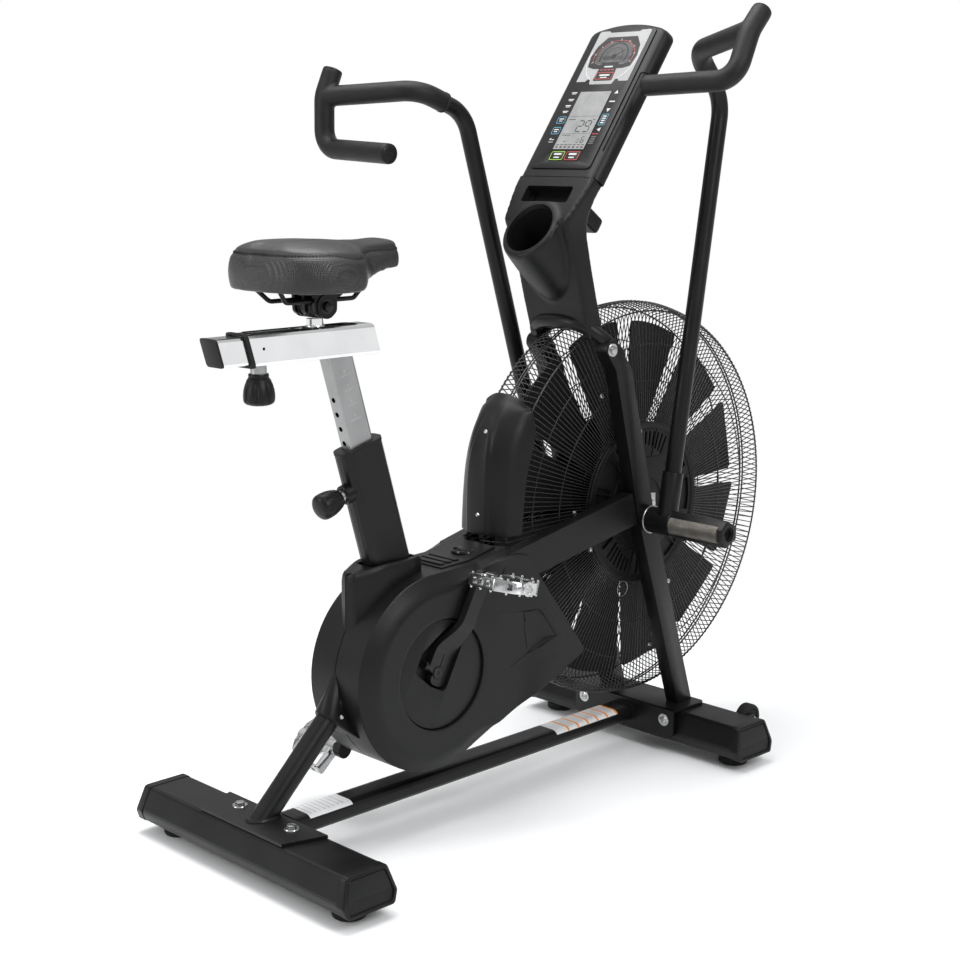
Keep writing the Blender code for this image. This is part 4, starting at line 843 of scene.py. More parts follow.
def upright(side_name, side):
    """An upright, from the front bracket over the pivot to a rounded ear, with a bolt through the ear."""
    wide = 0.0208
    outline = [
        (0.3515 - wide, STAB_TOP + 0.0058), (0.3515 + wide, STAB_TOP + 0.0058),
        (PIVOT.x + wide, PIVOT.z + 0.003)
    ]
    outline += [(0.1595 + wide, 0.748), *arc((0.13, 0.786), 0.017, 24, 200, 18)]
    outline += [(0.1595 - wide, 0.748), (PIVOT.x - wide, PIVOT.z - 0.003)]
    tube = outline_plate(
        f"mast_leg_{side_name}", outline, side * UPRIGHT_Y - 0.014, side * UPRIGHT_Y + 0.014, rounding=0.0045
    )
    piece(tube, "powder", replaces=(f"upright_{side_name}",), angle=40)
    place = (0.1285, side * (UPRIGHT_Y + 0.0138), 0.7852)
    piece(bolt(place, (0, side, 0), 0.0078, 0.0046, name=f"upright_bolt_{side_name}"), "zinc")


def foot_peg(side_name, side):
    """A six-sided foot peg: dark faces, a half-round metal tread on the rider's side and a ringed end."""
    tall, wide = 0.0255, 0.0225
    corners = [(wide, -0.012), (wide, 0.012), (-0.006, tall), (-wide, 0.01), (-wide, -0.01), (-0.006, -tall)]
    steps = [(0.0018, -0.1655), (0.0, -0.1675), (0.0, -0.284), (0.0012, -0.2864), (0.003, -0.287)]
    rows = []
    for inset, y in steps:
        outline = rounded_polygon(inset_polygon(corners, inset), [0.0046 - 0.6 * inset] * 6, 5)
        rows.append([(PIVOT.x + x, y, PIVOT.z + z) for x, z in outline])
    body = loft("peg", rows)
    body = cut(body, rod("recess", (PIVOT.x, -0.3, PIVOT.z), (PIVOT.x, -0.279, PIVOT.z), 0.0128, 48))
    shaft = rod("shaft", (PIVOT.x, -0.168, PIVOT.z), (PIVOT.x, -0.11, PIVOT.z), 0.0099, 32)
    inner = turned(
        "cup",
        [
            (0.0125, -0.278), (0.0125, -0.285), (0.0112, -0.2858), (0.01, -0.285), (0.0092, -0.2805),
            (0.0, -0.2805)
        ],
        (PIVOT.x, 0, PIVOT.z), steps=48
    )
    peg = mirrored(merge(f"peg_{side_name}", body, shaft, inner), side)
    piece(peg, "powder", replaces=(f"foot_peg_{side_name}",))
    # A real screw head in the cup at the peg's end, given the near-black finish: painted shade of the cup.
    eye = screw((PIVOT.x, -0.28, PIVOT.z), (0, -1, 0), 0.0055, 0.0028, f"peg_screw_{side_name}")
    piece(mirrored(eye, side), "inner")
    # The tread: a shallow half-round strip with fine turned grooves, let into the rear face.
    rows = []
    count = 84
    for i in range(count + 1):
        y = -0.169 - 0.108 * i / count
        swell = -0.00022 if i % 2 else 0.0
        row = []
        for k in range(15):
            turn = radians(90 + 180 * k / 14)
            row.append(
                (PIVOT.x - 0.014 + (0.0112 + swell) * cos(turn), y, PIVOT.z + (0.0158 + swell) * sin(turn))
            )
        rows.append(row)
    tread = loft(f"peg_tread_{side_name}", rows)
    piece(mirrored(tread, side), "tread")


# ---- fan and its cage ----
WIRES = 216
WIRE_R = 0.001
TAB_Y = 0.0562
TAB_HALF = 0.0055
BLADES = 12
BLADE_TIP = 0.335
# A cage wire from the hub plate over the face and round the rim: radius and distance from the middle.
CAGE_LINE = [
    (0.149, 0.0545), (0.16, 0.0548), (0.228, 0.0546), (0.296, 0.054), (0.34, 0.0526), (0.352, 0.0514),
    (0.358, 0.0492), (0.3612, 0.0452), (0.364, 0.037), (0.368, 0.024), (0.3708, 0.012), (0.372, 0.0045)
]
BELT_SECTOR = (183.0, 221.0)
CAGE_SCREWS = [
    (0.148, 0.6972), (0.2275, 0.708), (0.2555, 0.621), (0.079, 0.4929), (0.1231, 0.4191), (0.3465, 0.32),
    (0.2935, 0.205), (0.3775, 0.219)
]


def fan_point(radius, turn, y):
    """A point round the fan's axis."""
    return (FAN.x + radius * cos(turn), y, FAN.z + radius * sin(turn))


def ring_path(radius, y, count=120):
    return [fan_point(radius, 2 * pi * i / count, y) for i in range(count)]


def cage(side_name, side):
    """Half of the wire cage: radial wires, rings, rims, and the tabs with their screws."""
    wires = []
    for i in range(WIRES):
        turn = 2 * pi * (i + 0.5 * (side == LEFT)) / WIRES
        degree = 360.0 * i / WIRES
        on_belt = side == LEFT and BELT_SECTOR[0] - 3 < degree < BELT_SECTOR[1] + 3
        line = CAGE_LINE[:6] if on_belt else CAGE_LINE
        wires.append([fan_point(radius, turn, side * y) for radius, y in line])
    spokes = pipes("spokes", wires, WIRE_R, 1)
    rings = [(0.228, 0.053), (0.296, 0.0524), (0.156, 0.053)]
    thin = pipes("rings", [ring_path(r, side * y) for r, y in rings], 0.0011, 1, cyclic=True)
    rims = [(0.3705, 0.0032), (0.3565, 0.0484)]
    thick = pipes("rims", [ring_path(r, side * y) for r, y in rims], 0.0016, 2, cyclic=True)
    piece(merge(f"guard_{side_name}", spokes, thin, thick), "wire", replaces=(f"cage_{side_name}",), angle=70)
    tabs = []
    for x, z in CAGE_SCREWS:
        tabs.append(
            box(
                "tab", (x - TAB_HALF, side * TAB_Y - 0.0006, z - TAB_HALF),
                (x + TAB_HALF, side * TAB_Y + 0.0006, z + TAB_HALF), 0.0005
            )
        )
    piece(merge(f"guard_tabs_{side_name}", *tabs), "wire")
    heads = [screw((x, side * (TAB_Y + 0.0006), z), (0, side, 0), 0.0046, 0.0032) for x, z in CAGE_SCREWS]
    piece(merge(f"guard_screws_{side_name}", *heads), "zinc")


def hub_plate(side_name, side):
    """The moulded middle of a cage half: a raised rim, groups of louvres, and deep windows."""
    centre = (FAN.x, FAN.z)
    slots = []
    for first in (62, 100, 222, 262):
        for k in range(6):
            turn = radians(first + 5.2 * k)
            along = Vector((cos(turn), sin(turn)))
            across = Vector((-along.y, along.x))
            near, far = 0.098 + 0.0022 * k, 0.1345
            middle = Vector(centre) + along * (near + far) / 2
            shape = rounded_rectangle((0.0, 0.0), far - near, 0.0046, 0.002, 4)
            slots.append([tuple(middle + along * a + across * b) for a, b in shape])
    windows = []
    for first, last in ((-14, 14), (24, 50), (160, 184), (194, 214), (300, 336)):
        outer = arc(centre, 0.133, first, last, 9)
        inner = arc(centre, 0.1, last, first, 9)
        windows.append(outer + inner)
    bore = arc(centre, 0.009, 0, 350, 36)
    rim = arc(centre, 0.15, 0, 357, 120)
    low, high = sorted((side * 0.052, side * 0.0544))
    plate = outline_plate("plate", rim, low, high, holes=(bore, *slots, *windows), rounding=0.0004)
    back = outline_plate(
        "back", arc(centre, 0.136, 0, 357, 90), *sorted((side * 0.049, side * 0.05)),
        holes=(arc(centre, 0.095, 0, 355, 60),)
    )
    edge_profile = [(0.14, 0.054), (0.1408, 0.0556), (0.1424, 0.0562), (0.1496, 0.0562), (0.1512, 0.0552)]
    edge_profile += [(0.1515, 0.0535), (0.1512, 0.05), (0.149, 0.05), (0.149, 0.0535)]
    edge = turned("edge", [(r, side * y) for r, y in edge_profile], FAN, steps=120)
    step_profile = [(0.087, 0.054), (0.086, 0.056), (0.08, 0.0566), (0.05, 0.0566), (0.048, 0.0552)]
    step_profile += [(0.048, 0.054)]
    step = turned("step", [(r, side * y) for r, y in step_profile], FAN, steps=96)
    ribs = []
    for k in range(BLADES):
        turn = 2 * pi * (k + 0.5) / BLADES
        rib = box(
            "rib", (0.05, side * 0.0545 - 0.001, -0.0012), (0.14, side * 0.0545 + 0.001, 0.0012), 0.0006
        )
        ribs.append(moved(rib, Matrix.Translation(FAN) @ Matrix.Rotation(-turn, 4, "Y")))
    piece(
        merge(f"louvre_plate_{side_name}", plate, edge, step, back, *ribs), "blade",
        replaces=(f"hub_plate_{side_name}",)
    )


def round_badge():
    """A blank round badge on the right-hand face of the cage."""
    x, z = 0.2135, 0.329
    circle = [(x + cx, -0.0564, z + cz) for cx, cz in arc((0.0, 0.0), 0.014, 0, 352.5, 48)]
    ring = pipes("guard_badge", [circle], 0.0007, 2, cyclic=True)
    piece(ring, "satin")


def fan_rotor():
    """Twelve wide pitched blades between a hub disc and a hoop."""
    blades = []
    radii = [0.07, 0.11, 0.16, 0.21, 0.26, 0.305, 0.33, BLADE_TIP]
    for i in range(BLADES):
        rows = []
        for radius in radii:
            share_out = radius / BLADE_TIP
            trim = 0.006 if radius == radii[-1] else 0.0
            reach = 0.222 * radius - trim
            lift = -(0.003 + 0.002 * share_out) + 0.3 * trim
            row = []
            for k in range(9):
                t = -1 + k / 4
                turn = 2 * pi * (i + 0.5) / BLADES + (reach * t) / radius
                y = lift * t + 0.005 * (1 - t * t)
                row.append(fan_point(radius, turn, y))
            rows.append(row)
        blade = loft("blade", rows, closed=False, caps=False)
        blades.append(walled(blade, 0.0022))
    hub_profile = [(0.045, 0.03), (0.047, 0.027), (0.047, 0.004), (0.05, 0.0025), (0.116, 0.002)]
    hub_profile += [(0.116, -0.002), (0.05, -0.0025), (0.047, -0.004), (0.047, -0.027), (0.045, -0.03)]
    hub_profile += [(0.0065, -0.03), (0.0065, 0.03)]
    hub = turned("hub", hub_profile, FAN, steps=72)
    piece(merge("rotor", hub, *blades), "blade", "fan", ("fan_rotor",), angle=40)


def fan_ends():
    """A nut and a washer on each end of the fan's axle."""
    for side_name, side in SIDES.items():
        place = (FAN.x, side * 0.0705, FAN.z)
        piece(bolt(place, (0, side, 0), 0.0095, 0.006, name=f"axle_nut_{side_name}"), "zinc")


# ---- covers ----
HOLE_R = DISC_R + 0.002
# The room that the covers leave for the cage: its radius and half its width.
CAGE_ROOM_R = 0.3785
CAGE_ROOM_HALF = 0.0575


def wedge_edge():
    """The wedge's corners in side view, rounded, from the round part's foot to its top."""
    start = arc((CRANK.x, CRANK.z), COVER_R, 294, 294.1, 2)[0]
    end = arc((CRANK.x, CRANK.z), COVER_R, 95, 95.1, 2)[0]
    corners = [
        start, (0.0705, 0.2335), (0.0925, 0.244), (-0.0635, 0.4552), (-0.095, 0.4612), (-0.172, 0.4448), end
    ]
    path = rounded_path([(x, 0.0, z) for x, z in corners], (0.008, 0.009, 0.014, 0.04, 0.08), 8)
    return [(p.x, p.z) for p in path]


def cover_outline():
    """Side view of a drive cover, with points no more than about a centimetre apart."""
    points = arc((CRANK.x, CRANK.z), COVER_R, 95, 294, 84)
    wedge = wedge_edge()[1:-1]
    ends = [points[-1], *wedge, points[0]]
    for one, two in zip(ends, ends[1:]):
        count = max(1, round(hypot(two[0] - one[0], two[1] - one[1]) / 0.01))
        for k in range(count):
            if one is points[-1] and k == 0:
                continue
            points.append((one[0] + (two[0] - one[0]) * k / count, one[1] + (two[1] - one[1]) * k / count))
    return points


def cover_face(reach):
    """How far out the flat side stands: it bulges near the wedge's top, over the end of the beam."""
    return COVER_FACE + 0.0085 * share(reach, 0.196, 0.242)


def cover_rows():
    """Loops from the seam at the middle round the edge and over the face to the hole for the crank disc."""
    rows = []
    outline = cover_outline()
    away = []
    for x, z in outline:
        ray = Vector((x - CRANK.x, z - CRANK.z))
        away.append((ray.normalized(), ray.length))

    def row(place):
        line = []
        for direction, reach in away:
            inset, level = place(reach)
            radius = reach - inset
            line.append((CRANK.x + direction.x * radius, -level, CRANK.z + direction.y * radius))
        rows.append(line)

    def wide(reach):
        return 0.0325 - 0.0205 * share(reach, 0.1705, 0.19)

    for inset, level in ((0.001, 0.0004), (0.0, 0.0014), (0.0, 0.03), (0.0, COVER_HALF - 0.004)):
        row(lambda reach, inset=inset, level=level: (inset, level))
    for t in (0.04, 0.14, 0.3):
        # The rounded turn from the side wall on to the chamfer.
        row(lambda reach, t=t: (wide(reach) * t * 0.55, COVER_HALF - 0.004 + 0.0075 * t**0.55))
    for t in (0.45, 0.62, 0.8, 0.92):
        row(
            lambda reach, t=t: (
                wide(reach) * t,
                COVER_HALF + (cover_face(reach - wide(reach)) - COVER_HALF) * (
                    0.1 + 0.9 * share(t, 0.02, 1.06)
                ),
            )
        )
    row(lambda reach: (wide(reach) + 0.0012, cover_face(reach - wide(reach) - 0.0012)))
    for t in (0.03, 0.12, 0.25, 0.4, 0.55, 0.7, 0.85, 0.96):
        def place(reach, t=t):
            first = wide(reach) + 0.0012
            last = reach - HOLE_R - 0.004
            inset = first + (last - first) * t
            return inset, cover_face(reach - inset)
        row(place)
    for near, down in ((0.0022, 0.0), (0.0006, 0.0005), (0.0, 0.002), (0.0, 0.012)):
        row(lambda reach, near=near, down=down: (reach - HOLE_R - near, COVER_FACE - down))
    return rows


def recess_cutter():
    """The five-sided hollow pressed into the wedge's side, which deepens towards the front."""
    outer = [(-0.16, 0.3682), (-0.0295, 0.3437), (0.0103, 0.2882), (-0.1052, 0.242), (-0.131, 0.305)]
    floor = [(-0.156, 0.36), (-0.0552, 0.34), (-0.0159, 0.285), (-0.102, 0.25), (-0.129, 0.305)]
    depth = [0.0088, 0.01, 0.01, 0.0103, 0.009]
    points = [(x, -0.095, z) for x, z in outer]
    points += [(x, -0.0868, z) for x, z in outer]
    points += [(x, -(COVER_FACE + 0.0085 - d), z) for (x, z), d in zip(floor, depth)]
    return hull("recess", points)


def cover(side_name, side):
    """A drive cover: its thin shell with the pressed hollow, and the room for cage and seat tube."""
    rows = cover_rows()
    for row in rows:
        for i, (x, y, z) in enumerate(row):
            # The side wall stops at the cage and goes round it.
            out = hypot(x - FAN.x, z - FAN.z)
            if abs(y) < CAGE_ROOM_HALF and out < CAGE_ROOM_R:
                row[i] = (FAN.x + (x - FAN.x) * CAGE_ROOM_R / out, y, FAN.z + (z - FAN.z) * CAGE_ROOM_R / out)
    obj = loft("cover", rows, caps=False)
    shell = solidified(obj, 0.0026, (CRANK.x, -0.03, CRANK.z))
    # What backs the hollow where it is deeper than the wall: a block at its front, a plate behind its floor.
    points = []
    for x, z in ((-0.074, 0.3545), (-0.0275, 0.346), (0.0125, 0.2882), (-0.058, 0.2575), (-0.055, 0.3)):
        reach = hypot(x - CRANK.x, z - CRANK.z)
        points += [(x, -(cover_face(reach) - 0.0012), z), (x, -0.0735, z)]
    block = cut(hull("block", points), recess_cutter())
    floor = [(-0.159, 0.363), (-0.052, 0.343), (-0.012, 0.285), (-0.102, 0.247), (-0.131, 0.305)]
    backing = outline_plate("backing", floor, -0.0757, -0.0735)
    seat_way = moved(box("seat_way", (-0.043, -0.0205, 0.1), (0.043, 0.0205, 0.26)), seat_frame(0.0))
    shell = merge("shell", cut(shell, recess_cutter(), seat_way), block, backing)
    piece(
        mirrored(merge(f"shell_{side_name}", shell), side), "plastic", replaces=(f"cover_{side_name}",),
        angle=24
    )
    # A real screw head given the near-black finish, which paints shade round it.
    dot = screw((-0.0147, -0.0745, 0.2248), (0.15, -1, -0.35), 0.0042, 0.002, f"shell_screw_{side_name}")
    piece(mirrored(dot, side), "inner")


def cover_top():
    """The inlay between the collar and the fan guard: ribbed pads and a round dimple with a bright rim."""
    upper = [(-0.2355, 0.4452), (-0.17, 0.4482), (-0.11, 0.4615)]

    def level(x):
        for one, two in zip(upper, upper[1:]):
            if x <= two[0]:
                break
        return one[1] + (two[1] - one[1]) * (x - one[0]) / (two[0] - one[0])

    lower = [(x, z - 0.004) for x, z in reversed(upper)]
    plate = outline_plate("inlay", upper + lower, -0.045, 0.045, rounding=0.0008)
    ribs = []
    for i in range(3):
        x = -0.222 + 0.0165 * i
        z = level(x)
        ridge = outline_plate(
            "rib", rounded_rectangle((x, 0.0), 0.012, 0.07, 0.0058, 10), z - 0.001, z + 0.0026, "Z"
        )
        ribs.append(bevel(ridge, 0.0024, 4, 40))
    piece(merge("inlay", plate, *ribs), "plastic", replaces=("cover_top",))
    z = level(-0.15)
    rim = [(0.013, -0.001), (0.0134, 0.0018), (0.0146, 0.0028), (0.0162, 0.0022), (0.0172, -0.001)]
    dimple = spun("inlay_dimple", rim, 72)
    # The dimple's near-black floor: painted shade.
    floor = [(0.0, 0.0006), (0.0132, 0.0006), (0.0132, -0.0006), (0.0, -0.0006)]
    well = spun("inlay_well_shade", floor, 64)
    for obj, look in ((dimple, "gloss"), (well, "inner")):
        for vert in obj.data.vertices:
            vert.co.y *= 1.35
        piece(moved(obj, Matrix.Translation((-0.148, -0.004, z + 0.0004))), look)


COLLAR_PLAN = [
    (-0.4085, 0.0), (-0.402, 0.0165), (-0.36, 0.033), (-0.325, 0.0362), (-0.29, 0.0355), (-0.264, 0.0262)
]


def cover_collar():
    """The boat-shaped collar round the foot of the seat sleeve."""
    rows = []
    for rise, grow in ((0.0, 0.0), (0.35, 0.0), (0.8, 0.0), (0.92, -0.0012), (0.98, -0.0032), (1.0, -0.0062)):
        row = []
        for k in range(96):
            turn = 2 * pi * k / 96
            t = (1 - cos(turn)) / 2
            x = -0.4085 + (0.4085 - 0.264) * t
            reach = through(COLLAR_PLAN, x)[0]
            y = (reach + grow) * (1 if turn < pi else -1) if reach else 0.0
            x -= grow * cos(turn)
            base = CRANK.z + (max(COVER_R**2 - (x - CRANK.x) ** 2, 0.0)) ** 0.5 - 0.004
            top = 0.468 - 0.01 * share(-x, 0.34, 0.41)
            row.append((x, y, base + (top - base) * rise))
        rows.append(row)
    body = loft("collar", rows)
    body = cut(
        body, moved(box("seat_cutter", (-0.0445, -0.0215, 0.05), (0.0445, 0.0215, 0.35)), seat_frame(0.0))
    )
    piece(body, "plastic", replaces=("cover_collar",), angle=40)


def fan_guard():
    """The shield between the rider's knees and the rear of the cage: a smooth channel with a raised ridge."""
    # Each row: height, nose, shoulder, front edge, its half width and how far the ridge stands out.
    rows = [
        (0.4765, -0.1105, -0.094, -0.064, 0.066, 0.028), (0.54, -0.11, -0.0905, -0.0585, 0.066, 0.027),
        (0.585, -0.108, -0.085, -0.051, 0.066, 0.025), (0.62, -0.103, -0.077, -0.04, 0.0655, 0.022),
        (0.65, -0.093, -0.066, -0.03, 0.0645, 0.018), (0.678, -0.079, -0.054, -0.03, 0.061, 0.01),
        (0.7, -0.064, -0.045, -0.033, 0.057, 0.001), (0.717, -0.048, -0.04, -0.034, 0.054, 0.001)
    ]
    grid = []
    steps = 36
    for i in range(steps + 1):
        z = 0.4765 + (0.7172 - 0.4765) * (i / steps) ** 0.92
        nose, shoulder, front, half_front, ridge = through(rows, z)
        plan = [
            (0.0, half_front, front), (1.0, 0.955 * half_front, front - 0.35 * (front - shoulder)),
            (2.0, 0.82 * half_front, shoulder), (3.0, 0.46 * half_front, nose + 0.0045),
            (4.0, 0.23 * half_front, nose + 0.0008), (5.0, 0.0, nose)
        ]
        line = []
        for k in range(31):
            y, x = through(plan, 5.0 * k / 30)
            inside = 1 - share(y, max(ridge - 0.004, 0.0), ridge + 0.001)
            x -= 0.003 * inside * share(ridge, 0.004, 0.016)
            line.append((x, y, z - 0.026 * share(z, 0.685, 0.7172) * (y / 0.06) ** 2))
        grid.append(line + [(x, -y, z) for x, y, z in reversed(line[:-1])])
    obj = loft("shield", grid, closed=False, caps=False)
    shell = solidified(obj, 0.0022, (-0.02, 0.0, 0.58))
    shell = bevel(shell, 0.0007, 2, 60)
    piece(shell, "plastic", replaces=("fan_guard",), angle=50)
    heads = []
    for z in (0.655, 0.511):
        nose = through(rows, z)[0]
        slope = (through(rows, z + 0.005)[0] - nose) / 0.005
        heads.append(screw((nose - 0.0029, -0.006, z), (-1, 0, slope), 0.004, 0.0022))
    piece(merge("shield_screws", *heads), "zinc")


# ---- cranks and pedals ----
def crank_local(r, across=0.0):
    """A point of the right crank arm: r along it and across it, seen from the right side."""
    along = Vector((sin(CRANK_ANGLE), 0.0, cos(CRANK_ANGLE)))
    side = Vector((-cos(CRANK_ANGLE), 0.0, sin(CRANK_ANGLE)))
    return CRANK + along * r + side * across


def crank_matrix():
    """Local X along the arm, local Y across it towards the rear, local Z out to the right."""
    along = crank_local(1.0) - CRANK
    side = crank_local(0.0, 1.0) - CRANK
    columns = Matrix((along, side, Vector((0.0, -1.0, 0.0)))).transposed().to_4x4()
    return Matrix.Translation(CRANK) @ columns


def arm_half_width(r):
    """Half the crank arm's width at a distance along it."""
    rows = [(0.0, 0.022), (0.03, 0.0224), (0.045, 0.0215), (0.07, 0.0163), (0.1, 0.0138)]
    return through([*rows, (0.15, 0.0136), (CRANK_R, 0.014)], r)[0]


def arm_plan(count=60):
    """The arm's side view as a closed outline in its own plane: a squared clamp end and a round pedal eye."""
    right = []
    for i in range(count + 1):
        r = CRANK_R * i / count
        right.append((r, -arm_half_width(r)))
    clamp = [(-0.0215, 0.022), (-0.0215, -0.022), (0.03, -0.022)]
    start = rounded_polygon(clamp, (0.01, 0.01, 0.001), 6)[:14]
    eye = [(CRANK_R + 0.014 * cos(radians(a)), 0.014 * sin(radians(a))) for a in range(-80, 81, 10)]
    return [p for p in start if p[0] < -0.0005] + right + eye + [(r, -y) for r, y in reversed(right)]


def crank_arm(side_name, side):
    """The arm with its clamp, cap and pinch bolt, and the spindle that its pedal turns on."""

    def step_out(co):
        co.z += 0.0505 + 0.03 * share(co.x, 0.031, 0.097)

    places = [(0.03 + 0.0035 * k, 0, 0) for k in range(20)]
    arm = bent(outline_plate("arm", arm_plan(), 0.0, 0.014, "Z"), places, (1, 0, 0), step_out, True)
    arm = bevel(arm, 0.0016, 3, 50)
    bore = rod("bore", (0, 0, 0.03), (0, 0, 0.09), 0.0108, 48)
    split = box("split", (0.0105, -0.0008, 0.058), (0.033, 0.0008, 0.07))
    arm = cut(arm, bore, split)
    arm = moved(arm, crank_matrix())
    eye = crank_local(CRANK_R)
    spindle = rod("spindle", eye + Vector((0, -0.085, 0)), eye + Vector((0, -0.186, 0)), 0.006, 32)
    shoulder = rod("shoulder", eye + Vector((0, -0.094, 0)), eye + Vector((0, -0.0988, 0)), 0.0088, 6)
    cap_profile = [(0.0, 0.0668), (0.0018, 0.0668), (0.0022, 0.066), (0.0028, 0.066), (0.0032, 0.0668)]
    cap_profile += [(0.0092, 0.0668), (0.0101, 0.0662), (0.0104, 0.065), (0.0104, 0.056), (0.0, 0.056)]
    cap = moved(spun("cap", cap_profile, 64), crank_matrix())
    barrel = rod("barrel", (0.004, 0.015, 0.0575), (0.004, 0.03, 0.0575), 0.0074, 40, rounding=0.001)
    socket = rod("socket", (0.004, 0.026, 0.0575), (0.004, 0.031, 0.0575), 0.004, 6)
    barrel = moved(cut(barrel, socket), crank_matrix())
    name = f"arm_plate_{side_name}"
    piece(turned_over(merge(name, arm, cap, barrel), side), "crank", "crank", (f"crank_arm_{side_name}",))
    piece(turned_over(merge(f"arm_spindle_{side_name}", spindle, shoulder), side), "zinc", "crank")


# The opening in the disc that the arm stands in, in the arm's own plane.
DISC_WELL = rounded_polygon(
    [
        (-0.0255, -0.0228), (0.05, -0.0228), (0.087, -0.0165), (0.087, 0.016), (0.064, 0.032), (0.02, 0.058),
        (-0.016, 0.058), (-0.0265, 0.012)
    ],
    (0.01, 0.02, 0.004, 0.004, 0.008, 0.006, 0.006, 0.01), 6
)


def crank_disc(side_name, side):
    """The round cover plate that turns with the crank, with a well that the arm stands in."""
    rim = [(DISC_R * cos(radians(a)), DISC_R * sin(radians(a))) for a in range(0, 360, 3)]
    plate = outline_plate("disc", rim, 0.0695, 0.0733, "Z", holes=(DISC_WELL,), rounding=0.0009)
    skirt_rows = []
    for level, grow in ((0.07, 0.0), (0.056, -0.0008)):
        skirt_rows.append([(r * (1 + grow), a, level) for r, a in DISC_WELL])
    skirt = walled(loft("skirt", skirt_rows, caps=False), 0.001)
    floor_ring = [(0.09 * cos(radians(a)), 0.09 * sin(radians(a))) for a in range(0, 360, 5)]
    bore = [(0.0112 * cos(radians(a)), 0.0112 * sin(radians(a))) for a in range(0, 360, 10)]
    floor = outline_plate("floor", floor_ring, 0.0478, 0.0492, "Z", holes=(bore,))
    edge_profile = [(0.093, 0.0722), (0.093, 0.067), (0.0915, 0.067), (0.0915, 0.0722)]
    edge = spun("edge", edge_profile, 120)
    disc = merge(f"disc_plate_{side_name}", plate, skirt, floor, edge)
    piece(turned_over(moved(disc, crank_matrix()), side), "plastic", "crank", (f"crank_disc_{side_name}",))


PEDAL_TILT = {"right": radians(12), "left": radians(40)}
PEDAL_Y = 0.099
PEDAL_SCALE = Matrix.Diagonal((1.09, 1.09, 1.04, 1))


def pedal(side_name, side):
    """A cast platform: a chamfered frame with side windows, four openings, a bearing barrel and grip pins."""
    outline = [(-0.047, 0.004), (-0.047, 0.06), (-0.031, 0.08), (-0.016, 0.088)]
    outline += [(-x, y) for x, y in reversed(outline)]
    radii = (0.004, 0.005, 0.005, 0.004, 0.004, 0.005, 0.005, 0.004)
    outside = rounded_polygon(outline[::-1], radii, 5)
    windows = [
        rounded_polygon(
            [(-0.0415, 0.01), (-0.0165, 0.01), (-0.0165, 0.038), (-0.0415, 0.038)], [0.003] * 4, 4
        ),
        rounded_polygon([(0.0165, 0.01), (0.0415, 0.01), (0.0415, 0.038), (0.0165, 0.038)], [0.003] * 4, 4),
        rounded_polygon(
            [(-0.0415, 0.043), (-0.0165, 0.043), (-0.0165, 0.078), (-0.028, 0.073), (-0.0415, 0.058)],
            [0.003] * 5, 4
        ),
        rounded_polygon(
            [(0.0165, 0.043), (0.0415, 0.043), (0.0415, 0.058), (0.028, 0.073), (0.0165, 0.078)], [0.003] * 5,
            4
        )
    ]
    body = outline_plate("platform", outside, -0.0095, 0.0095, "Z", holes=windows, rounding=0.0011)
    # Openings through the frame's own walls, front, rear and outer end.
    openings = []
    for y in (0.02, 0.033, 0.048):
        for x in (-0.047, 0.047):
            hole = rounded_rectangle((y, 0.0), 0.0095, 0.0115, 0.0035, 5)
            openings.append(outline_plate("w", hole, x - 0.007, x + 0.007, "X"))
    for x in (-0.034, 0.028):
        openings.append(box("w", (x, 0.06, -0.005), (x + 0.006, 0.095, 0.005)))
    body = cut(body, *openings)
    barrel_profile = [
        (0.0066, 0.0), (0.0108, 0.0), (0.0122, 0.0014), (0.0122, 0.016), (0.0112, 0.02), (0.0108, 0.065)
    ]
    barrel_profile += [
        (0.0116, 0.07), (0.0122, 0.074), (0.0122, 0.089), (0.0112, 0.0902), (0.0078, 0.0902), (0.007, 0.0892)
    ]
    barrel_profile += [(0.0066, 0.0892)]
    barrel = turned("barrel", barrel_profile, (0, 0, 0), "Y", 48)
    pins = []
    places = [(-0.044, 0.01), (-0.044, 0.03), (-0.044, 0.052), (-0.033, 0.074), (-0.013, 0.083)]
    places += [(-x, y) for x, y in places] + [(-0.014, 0.04), (0.014, 0.04)]
    for x, y in places:
        for up in (-1, 1):
            pins.append(rod("pin", (x, y, 0.008 * up), (x, y, 0.013 * up), 0.0019, 14, rounding=0.0004))
    end = turned(
        "end",
        [(0.0, 0.0898), (0.0044, 0.0898), (0.0052, 0.089), (0.0064, 0.089), (0.0064, 0.086), (0.0, 0.086)],
        (0, 0, 0), "Y", 40
    )
    tilt = Matrix.Rotation(PEDAL_TILT[side_name] * (1 if side == RIGHT else -1), 4, "Y")
    flip = Matrix.Diagonal((1, side, 1, 1))
    eye = Matrix.Translation(crank_local(CRANK_R if side == RIGHT else -CRANK_R))
    place = eye @ flip @ Matrix.Translation((0, PEDAL_Y, 0)) @ tilt @ PEDAL_SCALE
    body_name = f"pedal_{side_name}"
    piece(moved(merge(f"platform_{side_name}", body, barrel, *pins), place), "alloy", body_name, (body_name,))
    piece(moved(merge(f"platform_end_{side_name}", end), place), "zinc", body_name)


# ---- seat ----
# How far up the seat tube its pull knob's pin stands.
POST_PIN = 0.342
CLAMP_Z = 0.8955


def seat_point(along, across=0.0):
    """A point on the seat tube's line: along it from the crank axis, and across it towards the rear."""
    up = Vector((-sin(SEAT_LEAN), 0.0, cos(SEAT_LEAN)))
    rear = Vector((-cos(SEAT_LEAN), 0.0, -sin(SEAT_LEAN)))
    return CRANK + up * along + rear * across


def seat_frame(along):
    """The matrix that stands a piece built along +Z on the seat tube's line."""
    return Matrix.Translation(seat_point(along)) @ Matrix.Rotation(-SEAT_LEAN, 4, "Y")


